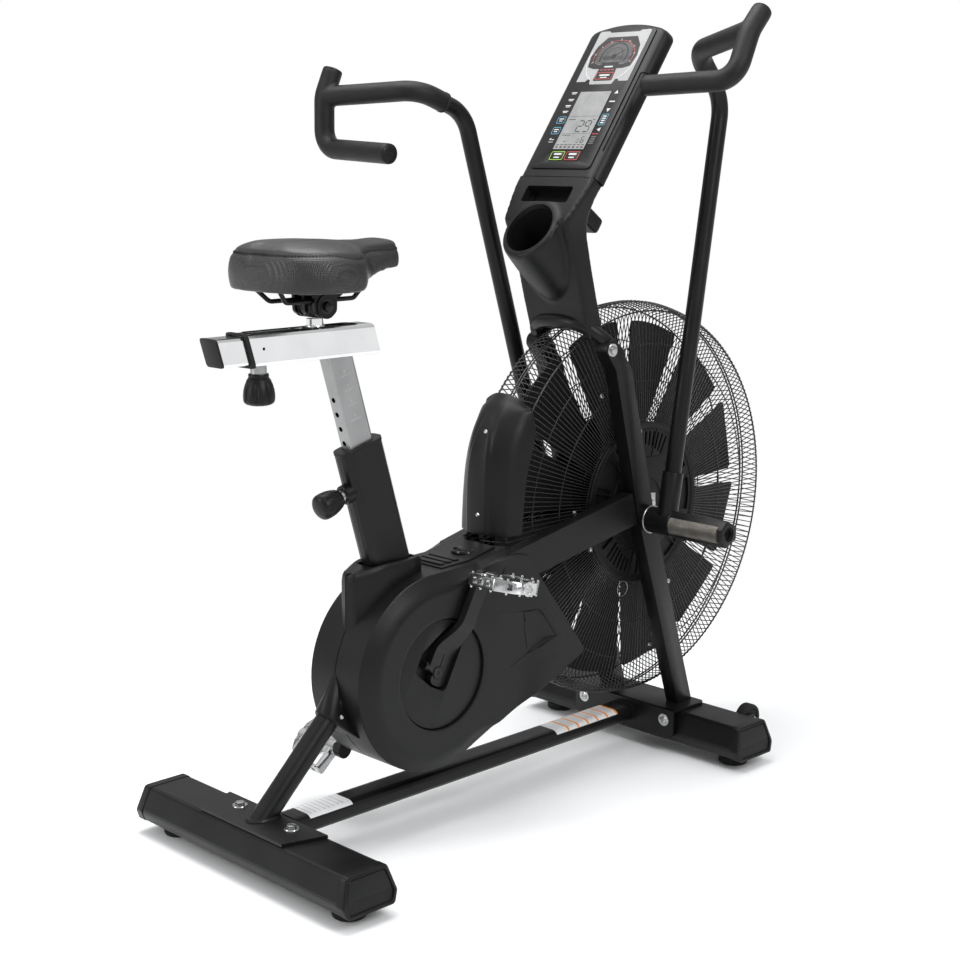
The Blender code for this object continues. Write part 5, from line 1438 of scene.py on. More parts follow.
def sleeve_rim():
    """The plastic bush in the sleeve's mouth, with a lip that stands over the tube's edge."""
    outer = rounded_rectangle((0.0, 0.0), 0.0862, 0.0412, 0.0154, 10)
    inner = rounded_rectangle((0.0, 0.0), 0.0508, 0.0258, 0.0044, 6)
    lip = outline_plate("sleeve_rim", outer, 0.406, 0.4112, "Z", holes=(inner,), rounding=0.0012)
    piece(moved(lip, seat_frame(0.0)), "plastic")
    boss_profile = [(0.0112, 0.0), (0.015, 0.0), (0.0162, -0.0012), (0.0168, -0.015), (0.0112, -0.015)]
    boss = spun("pin_boss", boss_profile, 48)
    piece(aimed(boss, seat_point(POST_PIN, 0.053), seat_point(0, 1) - CRANK), "powder")


def post_marks():
    """Height marks with plain numbers on the post's right-hand side."""
    marks = []
    for i in range(4):
        along = 0.456 + 0.025 * i
        bar = box("mark", (-0.01, -0.01262, along), (0.01, -0.0124, along + 0.001))
        marks.append(bar)
        marks.append(digit(str(5 + i), 0.008, Matrix.Translation((0.0, -0.01262, along + 0.0045))))
    piece(moved(merge("post_marks", *marks), seat_frame(0.0)), "etch", "seat_post")


def digit(text, size, place):
    """A number as a thin solid, standing up and facing the rider's right."""
    curve = bpy.data.curves.new("digit", "FONT")
    curve.body = text
    curve.size = size
    curve.extrude = 0.0001
    curve.align_x = "CENTER"
    obj = add_object("digit", curve)
    obj.matrix_world = place @ Matrix.Rotation(pi / 2, 4, "X")
    return baked(obj, 0.000001)


def slanted(obj, lean=0.29):
    """Lean a piece built upright, as the slider's cut ends do."""
    for vert in obj.data.vertices:
        vert.co.x += (SLIDER_BOTTOM - vert.co.z) * lean
    return obj


def slider_details():
    """The slider's bezel, slot lip, end cap, side holes and the ring round the saddle's post."""
    middle = (0.0, (SLIDER_TOP + SLIDER_BOTTOM) / 2)
    bezel = outline_plate(
        "slider_bezel", rounded_rectangle(middle, 0.05, 0.054, 0.008, 8), -0.599, -0.5925, "X",
        holes=(rounded_rectangle(middle, 0.0416, 0.0456, 0.0062, 6),), rounding=0.001
    )
    piece(slanted(bezel), "rubber", "seat_post")
    lip = outline_plate(
        "slider_slot_lip", rounded_rectangle((-0.488, 0.0), 0.21, 0.0345, 0.01), 0.8614, 0.863, "Z",
        holes=(rounded_rectangle((-0.488, 0.0), 0.206, 0.0296, 0.008),), rounding=0.0005
    )
    piece(lip, "rubber", "seat_post")
    cap = outline_plate(
        "slider_end_cap", rounded_rectangle(middle, 0.0406, 0.0444, 0.0056, 8), -0.6504, -0.6466, "X",
        rounding=0.0011
    )
    piece(slanted(cap), "plastic", "seat_slider")
    # Near-black discs at the two side holes: painted shade.
    screws = []
    for y, way in ((-0.0229, -1), (0.0229, 1)):
        screws.append(spun("hole", [(0.0, 0.0003), (0.0022, 0.0003), (0.0026, 0.0), (0.0, 0.0)], 24))
        aimed(screws[-1], (-0.577, y, 0.839), (0, way, 0))
    piece(merge("slider_hole_shade", *screws), "inner", "seat_post")
    ring = [(0.0134, 0.8625), (0.015, 0.8625), (0.0156, 0.8634), (0.0152, 0.8648), (0.0134, 0.8652)]
    piece(turned("post_ring", ring, (SADDLE_X, 0, 0), "Z", 64), "chrome", "seat_slider")


def saddle_clamp():
    """The clamp under the saddle: a ribbed barrel on a cross bolt, a cradle and two bent rails."""
    rib = []
    for k in range(13):
        y = -0.03 + 0.005 * k
        rib.append((0.019 if k % 2 == 0 else 0.0166, y))
    profile = [(0.0, -0.0305)]
    for radius, y in rib:
        profile += [(radius, y - 0.0012), (radius, y + 0.0012)]
    profile += [(0.0, 0.0305)]
    place = Vector((SADDLE_X, 0.0, CLAMP_Z))
    barrel = turned("barrel", profile, place, steps=56)
    cheeks = []
    for y in (-0.0255, 0.0, 0.0255):
        plan = rounded_polygon(
            [(-0.021, -0.014), (0.021, -0.014), (0.023, 0.022), (-0.023, 0.022)], (0.01, 0.01, 0.003, 0.003),
            6
        )
        cheeks.append(
            outline_plate(
                "cheek", [(place.x + x, place.z + z) for x, z in plan], y - 0.0032, y + 0.0032,
                rounding=0.0008
            )
        )
    cradle = box("cradle", (SADDLE_X - 0.024, -0.0245, 0.9125), (SADDLE_X + 0.024, 0.0245, 0.9205), 0.002)
    socket = turned(
        "socket", [(0.0, 0.8795), (0.0165, 0.8795), (0.0175, 0.8805), (0.0175, 0.893), (0.0, 0.893)],
        (SADDLE_X, 0, 0), "Z", 48
    )
    rails = []
    for y in (-0.02, 0.02):
        corners = [
            (-0.552, 1.5 * y, 0.926), (-0.532, y, 0.9045), (-0.398, y, 0.9045), (-0.372, 0.8 * y, 0.925)
        ]
        rails.append(rounded_path(corners, (0.012, 0.014), 10))
    rail = pipes("rails", rails, 0.0037, 6)
    piece(
        merge("clamp", barrel, *cheeks, cradle, socket, rail), "powder", "saddle", ("saddle_clamp",), angle=40
    )
    nuts = []
    for side in (RIGHT, LEFT):
        nuts.append(bolt((SADDLE_X, side * 0.03, CLAMP_Z), (0, side, 0), 0.0082, 0.0058))
    piece(merge("clamp_nuts", *nuts), "gloss", "saddle")


SADDLE_REAR = -0.575
SADDLE_LENGTH = 0.275
SADDLE_HALF = [
    (SADDLE_REAR, 0.0), (-0.5735, 0.045), (-0.56, 0.088), (-0.525, 0.116), (-0.48, 0.1205), (-0.445, 0.109),
    (-0.42, 0.08), (-0.39, 0.052), (-0.34, 0.0375), (-0.312, 0.031), (-0.301, 0.016), (-0.3, 0.0)
]


def saddle_outline(count=64):
    """The saddle's plan as an even, smooth closed line, from the middle of the rear round the right."""
    rows = [(float(i), y, x) for i, (x, y) in enumerate(SADDLE_HALF)]
    fine = [through(rows, (len(rows) - 1) * k / 400) for k in range(401)]
    lengths = [0.0]
    for a, b in zip(fine, fine[1:]):
        lengths.append(lengths[-1] + hypot(b[0] - a[0], b[1] - a[1]))
    half = []
    j = 0
    for k in range(count + 1):
        want = lengths[-1] * k / count
        while j < 399 and lengths[j + 1] < want:
            j += 1
        t = (want - lengths[j]) / (lengths[j + 1] - lengths[j])
        y, x = (a + (b - a) * t for a, b in zip(fine[j], fine[j + 1]))
        half.append((x, -max(y, 0.0)))
    return half + [(x, -y) for x, y in reversed(half[1:-1])]


def saddle_spine(x):
    """The place on the middle line that the outline's point at x is drawn in towards."""
    return -0.545 + (x - SADDLE_REAR) / SADDLE_LENGTH * 0.22


def saddle_bottom(x):
    """The skirt's lower edge: deep under the rear lobes and rising under the nose."""
    return 0.9205 + 0.0245 * share(x, -0.445, -0.325)


def saddle_seam_z(x):
    """The height of the seam round the pad."""
    return 0.979 - 0.0065 * share(x, -0.52, -0.455) + 0.006 * share(x, -0.43, -0.37)


def saddle_body():
    """The padded form before it swells: skirt, side, shoulder and a top with a shallow channel."""
    outline = saddle_outline()
    rings = []
    for inset, height in (
        (0.33, 0.006),
        (0.2, 0.0022),
        (0.09, 0.0),
        (0.03, 0.0055),
        (0.002, 0.015),
        (0.0, 0.0225),
        (0.012, 0.032),
        (0.04, 0.041),
        (0.085, 0.0482),
        (0.15, 0.054),
        (0.24, 0.0582),
        (0.36, 0.0604),
        (0.52, 0.061),
        (0.7, 0.0603),
        (0.88, 0.0595),
    ):
        ring = []
        for x, y in outline:
            low = saddle_bottom(x)
            rise = height if height < 0.01 else height * (0.9925 - low) / 0.061
            ring.append((x + (saddle_spine(x) - x) * inset, y * (1 - inset), low + rise))
        rings.append(ring)
    return loft("pad", rings)


CLOTH_FRAMES = 20


def swollen(obj, cell, cap, pinned_below):
    """A padded shape blown up a little by Cloth from a voxel remesh, held along its underside."""
    obj = remeshed(obj, cell)
    group = obj.vertex_groups.new(name="held")
    group.add([v.index for v in obj.data.vertices if v.co.z < pinned_below(v.co.x)], 1.0, "REPLACE")
    start = [v.co.copy() for v in obj.data.vertices]
    cloth = obj.modifiers.new("Padding", "CLOTH")
    cloth.settings.use_pressure = True
    cloth.settings.uniform_pressure_force = 4.0
    cloth.settings.effector_weights.gravity = 0.0
    cloth.settings.quality = 6
    cloth.settings.vertex_group_mass = "held"
    scene = bpy.context.scene
    scene.frame_start, scene.frame_end = 1, CLOTH_FRAMES
    cloth.point_cache.frame_start, cloth.point_cache.frame_end = 1, CLOTH_FRAMES
    for number in range(1, CLOTH_FRAMES + 1):
        scene.frame_set(number)
    graph = bpy.context.evaluated_depsgraph_get()
    final = [v.co.copy() for v in obj.evaluated_get(graph).data.vertices]
    obj.modifiers.clear()
    scene.frame_set(1)
    for vert, first, last in zip(obj.data.vertices, start, final):
        shift = last - first
        if shift.length > cap:
            shift *= cap / shift.length
        vert.co = first + shift
    return obj


def saddle():
    """The padded saddle: swollen, sewn down along its seam, and pressed in along its middle."""
    body = swollen(saddle_body(), 0.0045, 0.005, lambda x: saddle_bottom(x) + 0.004)
    body = relaxed(body, 0.5, 10)
    # Sew it down along the seam, and press in the channel of the top panel.
    seam = [hit[0] for hit in seam_line(body, Matrix.Identity(4))]
    for vert in body.data.vertices:
        near = min((vert.co - p).length for p in seam[::2]) if vert.co.z > 0.955 else 1.0
        vert.co -= vert.normal * 0.0016 * (1 - share(near, 0.0015, 0.0085))
        if vert.co.z > 0.972:
            x, y = vert.co.x, abs(vert.co.y)
            valley = (1 - share(y, 0.004, 0.03)) * share(x, -0.556, -0.535) * (1 - share(x, -0.375, -0.335))
            vert.co.z -= 0.0042 * valley
    step = body.modifiers.new("Smooth skin", "SUBSURF")
    step.levels = step.render_levels = 1
    body = baked(body)
    body.name = "saddle_pad"
    mask = body.data.attributes.new("side", "FLOAT", "POINT")
    for i, vert in enumerate(body.data.vertices):
        mask.data[i].value = 1 - share(vert.co.z - saddle_seam_z(vert.co.x), -0.001, 0.0015)
    piece(body, "cover", "saddle", ("saddle",), angle=80)
    seam_pieces(body)
    pan()


def seam_line(body, shift):
    """Where rays from outside to the middle line meet the pad at the seam's height, and the normals there."""
    bm = bmesh.new()
    bm.from_mesh(body.data)
    tree = BVHTree.FromBMesh(bm)
    bm.free()
    hits = []
    for x, y in saddle_outline(110):
        z = saddle_seam_z(x)
        place = shift @ Vector((x, y, z))
        way = (place - shift @ Vector((saddle_spine(x), 0.0, z))).normalized()
        hit, normal = tree.ray_cast(place + way * 0.03, -way)[:2]
        if hit is not None:
            hits.append((shift.inverted() @ hit, normal))
    return hits


STITCH_STEP = 0.0052


def seam_pieces(body):
    """A row of raised stitches across the seam, and the seam's fine cord."""
    line = seam_line(body, SHIFT)
    cord = pipes("seam_cord", [[p - n * 0.0003 for p, n in line]], 0.0008, 2, cyclic=True)
    piece(cord, "thread", "saddle", angle=80)
    stitches = []
    count = len(line)
    total = sum((line[(i + 1) % count][0] - line[i][0]).length for i in range(count))
    number = int(total / STITCH_STEP)
    marks = []
    gone = 0.0
    k = 0
    for i in range(count):
        one, two = line[i], line[(i + 1) % count]
        length = (two[0] - one[0]).length
        while k * total / number < gone + length and k < number:
            t = (k * total / number - gone) / length
            marks.append(
                (one[0].lerp(two[0], t), one[1].lerp(two[1], t).normalized(), (two[0] - one[0]).normalized())
            )
            k += 1
        gone += length
    for place, normal, along in marks:
        across = normal.cross(along).normalized()
        slant = (across + along * 0.35).normalized()
        stitches.append(
            [place + slant * s * 0.0024 + normal * (0.0011 - 0.0012 * s * s) for s in (-1, -0.5, 0, 0.5, 1)]
        )
    piece(pipes("seam_stitches", stitches, 0.00055, 1), "thread", "saddle", angle=80)


def pan():
    """The moulded base plate under the padding, which the rails are held in."""
    outline = [(x + (-0.47 - x) * 0.24, y * 0.76) for x, y in saddle_outline(40)]
    plate = outline_plate("saddle_base", outline, 0.9225, 0.93, "Z", rounding=0.0015)
    for vert in plate.data.vertices:
        vert.co.z += 0.0015 + 0.024 * share(vert.co.x, -0.445, -0.34)
    # A real part, given the near-black finish, which adds painted shade under the pad.
    piece(plate, "inner", "saddle")


# ---- knobs ----
def fluted_knob(length, radius, flutes=8):
    """A grip along +Z with finger flutes, a domed end and a waist at the collar."""
    rows = []
    profile = [
        (0.0, 0.6, 0.0), (0.02, 0.66, 0.0), (0.1, 0.76, 0.0), (0.16, 0.8, 0.25), (0.25, 0.87, 0.8),
        (0.45, 0.97, 1.0), (0.62, 1.0, 1.0), (0.74, 1.0, 0.85), (0.82, 0.985, 0.3), (0.88, 0.94, 0.0),
        (0.94, 0.8, 0.0), (0.975, 0.6, 0.0), (0.992, 0.35, 0.0), (1.0, 0.1, 0.0)
    ]
    for up, wide, flute in profile:
        row = []
        for k in range(128):
            turn = 2 * pi * k / 128
            dip = max(cos(flutes * turn), -0.15) ** 2 * 0.12 * flute if cos(flutes * turn) > 0 else 0.0
            reach = radius * wide * (1 - dip)
            row.append((reach * cos(turn), reach * sin(turn), length * up))
        rows.append(row)
    return loft("knob", rows)


def knobs():
    """The two pull knobs with their shanks."""
    grip = fluted_knob(0.046, 0.0215)
    shank = [
        (0.0, 0.001), (0.0105, 0.001), (0.0105, -0.0175), (0.004, -0.0175), (0.004, -0.0325), (0.0, -0.0325)
    ]
    turn = Matrix.Translation(seat_point(POST_PIN, 0.0608)) @ facing(seat_point(0, 1) - CRANK)
    piece(moved(merge("post_grip", grip), turn), "plastic", "post_knob", ("post_knob",), angle=50)
    piece(moved(spun("post_pin", shank, 48), turn), "zinc", "post_knob")
    grip = fluted_knob(0.044, 0.0245)
    top = Matrix.Translation((KNOB_X, 0.0, SLIDER_BOTTOM - 0.0183)) @ Matrix.Rotation(pi, 4, "X")
    shank = [
        (0.0, 0.001), (0.0127, 0.001), (0.0127, -0.018), (0.005, -0.018), (0.005, -0.0204), (0.0, -0.0204)
    ]
    collar = [
        (0.0, 0.0012), (0.015, 0.0012), (0.0158, 0.0), (0.0158, -0.0045), (0.015, -0.0055), (0.0, -0.0055)
    ]
    piece(
        moved(merge("slider_grip", grip, spun("collar", collar, 48)), top), "plastic",
        "slider_knob", ("slider_knob",), angle=50
    )
    piece(moved(spun("slider_pin", shank, 48), top), "satin", "slider_knob")


# ---- console ----
def console_point(up, out=0.0, across=0.0):
    """A point of the console's tilted face: up along it, out from it and across it."""
    along = Vector((sin(CONSOLE_LEAN), 0.0, cos(CONSOLE_LEAN)))
    normal = Vector((-cos(CONSOLE_LEAN), 0.0, sin(CONSOLE_LEAN)))
    return CONSOLE_LOW + along * up + normal * out + Vector((0, across, 0))


def console_frame():
    """Local X across to the rider's right, local Y up the face, local Z out of it."""
    along = console_point(1.0) - CONSOLE_LOW
    normal = console_point(0.0, 1.0) - CONSOLE_LOW
    columns = Matrix((along.cross(normal), along, normal)).transposed().to_4x4()
    return Matrix.Translation(CONSOLE_LOW) @ columns


def both_halves(half):
    """An outline that is the same on both sides, from its right-hand half."""
    return half + [(-x, y) for x, y in reversed(half)]


def on_face(obj):
    """Stand a piece built flat on the console's tilted face."""
    return moved(obj, console_frame())


FACE = 0.0018
INK = 0.00012


def print_plate(outline, level=FACE, thick=INK, holes=()):
    """A printed area on the console's face, as a very thin plate that stands on the layer below it."""
    return outline_plate("ink", outline, level - 0.0003, level + thick, "Z", holes=holes)


def frame_lines(centre, width, height, radius, line):
    """The outer and inner outlines of a rounded frame."""
    outer = rounded_rectangle(centre, width, height, radius, 5)
    inner = rounded_rectangle(centre, width - 2 * line, height - 2 * line, max(radius - line, 0.0003), 5)
    return outer, inner


def print_box(x, y, width, height, radius, count=8, level=FACE, thick=INK):
    """A printed rounded box."""
    return print_plate(rounded_rectangle((x, y), width, height, radius, count), level, thick)


def print_frame(x, y, width, height, radius, line, level=FACE, thick=INK):
    """A printed rounded frame."""
    outer, inner = frame_lines((x, y), width, height, radius, line)
    return print_plate(outer, level, thick, (inner,))


def bar(x, y, width, height=0.0016):
    """A printed bar that stands for a line of lettering."""
    return print_box(x, y, width, height, height * 0.3, 3, FACE + INK)


def console_housing():
    """The console's housing with its arched top, and painted shade in a slit, a joint line and the gap under
    it.
    """
    half = CONSOLE_HALF
    top = CONSOLE_LENGTH
    rows = []
    profile = [(0.006, -0.03), (0.0015, -0.0285), (0.0, -0.025), (0.0004, -0.018), (0.0018, -0.012)]
    profile += [(0.0045, -0.007), (0.0085, -0.0034), (0.013, -0.0014), (0.0185, -0.0004), (0.023, -0.0002)]
    for inset, level in profile:
        wide, high = half - inset, top - 0.35 * inset
        round_r = max(0.02 - 0.6 * inset, 0.006)
        row = [(-wide, 0.0005), (wide, 0.0005)]
        row += arc((wide - round_r, high - 0.012 - round_r), round_r, 0, 74, 12)
        for k in range(13):
            part = 0.92 - 0.1533 * k
            row.append(((wide - 0.012) * part, high - 0.0005 - 0.0115 * abs(part) ** 2.2))
        row += arc((-wide + round_r, high - 0.012 - round_r), round_r, 106, 180, 12)
        rows.append([(x, y, level) for x, y in row])
    body = loft("housing", rows)
    piece(on_face(body), "plastic", replaces=("console_housing",), angle=40)
    # Painted shade along a slit and a joint line down its right-hand side: thin near-black bars.
    slit = [(0.08, 0.056, -0.0014), (0.0803, 0.14, -0.0014), (0.08, 0.22, -0.0014)]
    joint = [
        (0.08, 0.22, -0.0014), (0.0845, 0.2225, -0.0034), (0.0885, 0.2235, -0.007), (0.0912, 0.223, -0.012)
    ]
    joint += [(0.0926, 0.2215, -0.018), (0.093, 0.219, -0.025)]
    lines = pipes("housing_slit_shade", [rounded_path(slit, (0.03,), 6), joint], 0.0013, 3)
    piece(on_face(lines), "inner")
    # A near-black box in the gap under the housing: painted shade.
    gap = box("housing_gap_shade", (-0.088, -0.003, -0.0275), (0.088, 0.003, -0.004))
    piece(on_face(gap), "inner")


def film():
    """The printed film: black, with a silver field for the gauge, and windows for the two keys."""
    outline = rounded_rectangle((0.0, 0.166), 0.142, 0.3, 0.008, 8)
    holes = [rounded_rectangle((x, 0.042), 0.0347, 0.0212, 0.0034, 5) for x in (-0.0178, 0.0178)]
    sheet = outline_plate("face_film", outline, 0.0002, FACE, "Z", holes=holes, rounding=0.0002)
    piece(on_face(sheet), "film", replaces=("console_overlay",))
    half = [
        (0.0265, 0.196), (0.03, 0.2068), (0.035, 0.2078), (0.04, 0.2022), (0.0608, 0.2022), (0.0608, 0.314)
    ]
    half += [(0.038, 0.314), (0.034, 0.3105)]
    radii = [0.003, 0.0015, 0.0015, 0.0015, 0.0015, 0.0045, 0.0012, 0.0012]
    silver = rounded_polygon(both_halves(half), radii + radii[::-1], 5)
    piece(on_face(print_plate(silver)), "silver").name = "gauge_field"


def gauge():
    """A plain round dial: a dark band with ticks, a red arc, a needle and a small window, all unlettered."""
    level = FACE + INK
    half = [(0.0345, 0.23), (0.05, 0.2345), (0.0545, 0.257), (0.05, 0.28), (0.0345, 0.3)]
    inner_half = [(0.027, 0.2385), (0.0385, 0.242), (0.0415, 0.258), (0.038, 0.274), (0.026, 0.2885)]
    outer = rounded_polygon(both_halves(half), [0.002] * 10, 4)
    inner = rounded_polygon(both_halves(inner_half), [0.004] * 10, 4)
    band = print_plate(outer, level, holes=(inner,))
    centre = (0.0, 0.256)
    rings = []
    for radius, wide in ((0.03, 0.0022), (0.02, 0.001)):
        first, last = -20, 200
        shape = arc(centre, radius + wide / 2, first, last, 40) + arc(
            centre, radius - wide / 2, last, first, 40
        )
        rings.append(print_plate(shape, level))
    hub = print_plate(arc(centre, 0.006, 0, 345, 24), level)
    needle = print_plate([(0.001, 0.255), (0.0215, 0.27), (0.0205, 0.2712), (-0.001, 0.2572)], level)
    piece(on_face(merge("gauge_band", band, *rings, hub, needle)), "film")
    piece(
        on_face(print_plate(rounded_polygon(inner, [0.0001] * len(inner), 1), level - INK)), "dial"
    ).name = "gauge_dial"
    red = []
    for k in range(8):
        first = -18 + 27 * k
        radius = 0.0455
        shape = []
        for j in range(8):
            a = radians(first + 2 + 23 * j / 7)
            shape.append((centre[0] + radius * cos(a) * 1.02, centre[1] + radius * 0.8 * sin(a)))
        radius -= 0.0011
        for j in range(8):
            a = radians(first + 25 - 23 * j / 7)
            shape.append((centre[0] + radius * cos(a) * 1.02, centre[1] + radius * 0.8 * sin(a)))
        red.append(print_plate(shape, level + INK))
    red.append(print_frame(0.0, 0.214, 0.04, 0.015, 0.003, 0.001, level + 2 * INK))
    for x in (-0.0135, -0.0045, 0.0045, 0.0135):
        red.append(print_box(x, 0.227, 0.0062, 0.0016, 0.0005, 3, level + 2 * INK))
    piece(on_face(merge("gauge_red", *red)), "red")
    window = rounded_polygon(
        [(-0.0225, 0.2035), (0.0225, 0.2035), (0.0195, 0.244), (-0.0195, 0.244)], [0.003] * 4, 5
    )
    piece(on_face(print_plate(window, level + INK)), "film").name = "gauge_window"
    ticks = []
    for k in range(9):
        a = radians(-18 + 27 * k)
        x, y = centre[0] + 0.0462 * cos(a), centre[1] + 0.0375 * sin(a)
        mark = print_plate(
            [(-0.0022, -0.0005), (0.0022, -0.0005), (0.0022, 0.0005), (-0.0022, 0.0005)], level + INK
        )
        ticks.append(moved(mark, Matrix.Translation((x, y, 0)) @ Matrix.Rotation(a, 4, "Z")))
    ticks += [bar(0.0, 0.2155, 0.024, 0.003), bar(0.0, 0.2105, 0.016, 0.002), bar(0.0, 0.234, 0.02, 0.003)]
    for tick in ticks[9:]:
        moved(tick, Matrix.Translation((0, 0, 2 * INK)))
    piece(on_face(merge("gauge_ticks", *ticks)), "white")
    ring = []
    for first, last in ((-58, 12), (168, 238)):
        shape = arc(centre, 0.058, first, last, 24) + arc(centre, 0.0575, last, first, 24)
        ring.append(print_plate(shape, level))
    piece(on_face(merge("gauge_ring", *ring)), "label")


SEGMENTS = {"2": "abged", "9": "abcdfg", "0": "abcdef", "6": "acdefg", "5": "acdfg"}


def lcd_digit(number, x, y, tall, bold):
    """A seven-segment digit."""
    wide = tall * 0.52
    half, mid = wide / 2, tall / 2
    at = {
        "a": ((-half, tall), (half, tall)), "b": ((half, tall), (half, mid)), "c": ((half, mid), (half, 0)),
        "d": ((-half, 0), (half, 0)), "e": ((-half, mid), (-half, 0)), "f": ((-half, tall), (-half, mid)),
        "g": ((-half, mid), (half, mid))
    }
    strokes = []
    for key in SEGMENTS[number]:
        (x1, y1), (x2, y2) = at[key]
        t = bold / 2
        if x1 == x2:
            y1, y2 = max(y1, y2) - 0.7 * t, min(y1, y2) + 0.7 * t
            shape = [
                (x1 - t, y1 - t), (x1, y1), (x1 + t, y1 - t), (x1 + t, y2 + t), (x1, y2), (x1 - t, y2 + t)
            ]
        else:
            x1, x2 = x1 + 0.7 * t, x2 - 0.7 * t
            shape = [
                (x1, y1), (x1 + t, y1 + t), (x2 - t, y1 + t), (x2, y1), (x2 - t, y1 - t), (x1 + t, y1 - t)
            ]
        strokes.append(print_plate([(x + px, y + py) for px, py in shape], FACE + 0.0004))
    return strokes


def display():
    """The display: its frame, glass, plain digits and bars."""
    low, high, half = 0.0562, 0.18, 0.0366
    middle = (0.0, (low + high) / 2)
    border = print_frame(*middle, 2 * half + 0.003, high - low + 0.003, 0.0012, 0.0015, FACE, 0.0006)
    piece(on_face(border), "gloss").name = "display_frame"
    glass = print_box(*middle, 2 * half, high - low, 0.0008, 8, FACE, 0.0004)
    piece(on_face(glass), "lcd").name = "display_glass"
    level = FACE + 0.0004
    ink = [print_box(0.0, 0.1263, 2 * half, 0.0005, 0.0002, 2, level)]
    ink += lcd_digit("2", 0.002, 0.0935, 0.023, 0.0022) + lcd_digit("9", 0.019, 0.0935, 0.023, 0.0022)
    ink += lcd_digit("6", 0.023, 0.07, 0.012, 0.0014) + lcd_digit("0", 0.013, 0.07, 0.008, 0.001)
    for x, y, wide in (
        (-0.024, 0.1195, 0.016), (-0.02, 0.086, 0.02), (0.028, 0.1195, 0.006), (-0.018, 0.073, 0.006)
    ):
        ink.append(print_box(x, y, wide, 0.0013, 0.0003, 2, level))
    for k in range(7):
        x = -0.03 + 0.01 * k
        ink.append(print_box(x, 0.0655, 0.0075, 0.0014, 0.0003, 2, level))
        ink.append(print_box(x, 0.0605, 0.005, 0.003, 0.0003, 2, level))
    ink.append(print_box(0.0, 0.0895, 2 * half - 0.004, 0.0004, 0.0001, 2, level))
    piece(on_face(merge("display_ink", *ink)), "segment")


def legends():
    """Plain bars, arrows and boxes where the photographed console has its lettered keys."""
    white, blue, red = [], [], []
    right, left = 0.0492, -0.051
    for y, way in ((0.1777, 1), (0.1397, -1)):
        base_y, tip_y = y - 0.003 * way, y + 0.0042 * way
        arrow = [(right - 0.0048, base_y), (right + 0.0048, base_y), (right, tip_y)]
        white.append(print_plate(arrow[::way]))
    white.append(print_plate([(right + 0.0036, 0.094), (right + 0.0036, 0.1025), (right - 0.0044, 0.0982)]))
    white.append(bar(right, 0.1577, 0.013, 0.0024))
    for y in (0.1262, 0.1216, 0.117, 0.1124):
        white.append(bar(right, y, 0.0085, 0.0026))
    blue.append(print_frame(right, 0.119, 0.015, 0.024, 0.002, 0.001))
    for y in (0.1191, 0.0961):
        blue.append(print_frame(left, y, 0.019, 0.015, 0.003, 0.001))
        white += [bar(left, y + 0.0022, 0.011, 0.0022), bar(left, y - 0.0022, 0.008, 0.0018)]
    for y in (0.1772, 0.1624, 0.149, 0.1365):
        white += [bar(left, y + 0.0014, 0.013, 0.0018), bar(left, y - 0.0014, 0.01, 0.0014)]
    white += [
        bar(left - 0.003, 0.0775, 0.004, 0.0036), bar(left + 0.0035, 0.0765, 0.005, 0.0014),
        bar(left, 0.0715, 0.011, 0.001)
    ]
    red.append(bar(right - 0.003, 0.0887, 0.014, 0.0016))
    piece(on_face(merge("legend_white", *white)), "white")
    piece(on_face(merge("legend_blue", *blue)), "blue")
    grey_bars = [bar(right - 0.003, 0.083 - 0.0036 * k, 0.012 - 0.002 * (k % 2), 0.0012) for k in range(5)]
    piece(on_face(merge("legend_grey", *grey_bars)), "print")
    piece(on_face(merge("legend_red", *red)), "red")


def keys():
    """The two keys, with a coloured outline and plain marks."""
    for name, x, look in (("start", -0.0178, "green"), ("stop", 0.0178, "red")):
        cap = outline_plate(
            f"{name}_cap", rounded_rectangle((x, 0.042), 0.0337, 0.0202, 0.0032, 8), 0.0008, 0.0026, "Z",
            rounding=0.0004
        )
        piece(on_face(cap), "film", f"{name}_key", (f"{name}_key",))
        outer, inner = frame_lines((x, 0.042), 0.0318, 0.0183, 0.0028, 0.0012)
        line = outline_plate(f"{name}_outline", outer, 0.0024, 0.0027, "Z", holes=(inner,))
        piece(on_face(line), look, f"{name}_key")
        marks = []
        for y, wide, tall, radius in ((0.0455, 0.018, 0.004, 0.0008), (0.0385, 0.013, 0.0026, 0.0006)):
            shape = rounded_rectangle((x, y), wide, tall, radius, 3)
            marks.append(outline_plate("mark", shape, 0.0024, 0.0027, "Z"))
        piece(on_face(merge(f"{name}_mark", *marks)), "white", f"{name}_key")


CUP_AXIS = Vector((0.55, 0.0, -0.835)).normalized()
CUP_HEIGHT = -0.1085
CUP_OUTSIDE = [
    (-0.002, 0.0575, 0.0575), (0.003, 0.059, 0.059), (0.05, 0.058, 0.048), (0.1, 0.05, 0.036),
    (0.135, 0.03, 0.024)
]
CUP_INSIDE = [(-0.06, 0.0485, 0.0485), (0.0, 0.0485, 0.0485), (0.05, 0.047, 0.041), (0.09, 0.04, 0.031)]


def cup_rings(rings, sides=64, shrink=0.0):
    """Rings round the cup holder's axis: depth, half width across and along."""
    grid = []
    for depth, half_across, half_along in rings:
        middle = console_point(CUP_HEIGHT) + CUP_AXIS * depth
        row = []
        for i in range(sides):
            turn = 2 * pi * i / sides
            edge = console_point(
                (half_along - shrink) * sin(turn), 0.0, (half_across - shrink) * cos(turn)
            ) - CONSOLE_LOW
            row.append(middle + edge)
        grid.append(row)
    return grid


def mast_outline():
    """The mast's side view, from the hoop up to the seam under the console."""
    front = [(0.098, 0.802), (0.137, 0.802), (0.115, 0.877), (0.102, 0.926)]
    front += [(0.088, 0.985), (0.087, 1.02), (0.095, 1.048)]
    seam = [console_point(0.01, 0.0005 - 0.03), console_point(0.01)]
    face = [console_point(-0.09)]
    rear = [(0.0335, 0.995), (0.048, 0.96), (0.0625, 0.924), (0.0775, 0.869)]
    return front + [(p.x, p.z) for p in seam + face] + rear


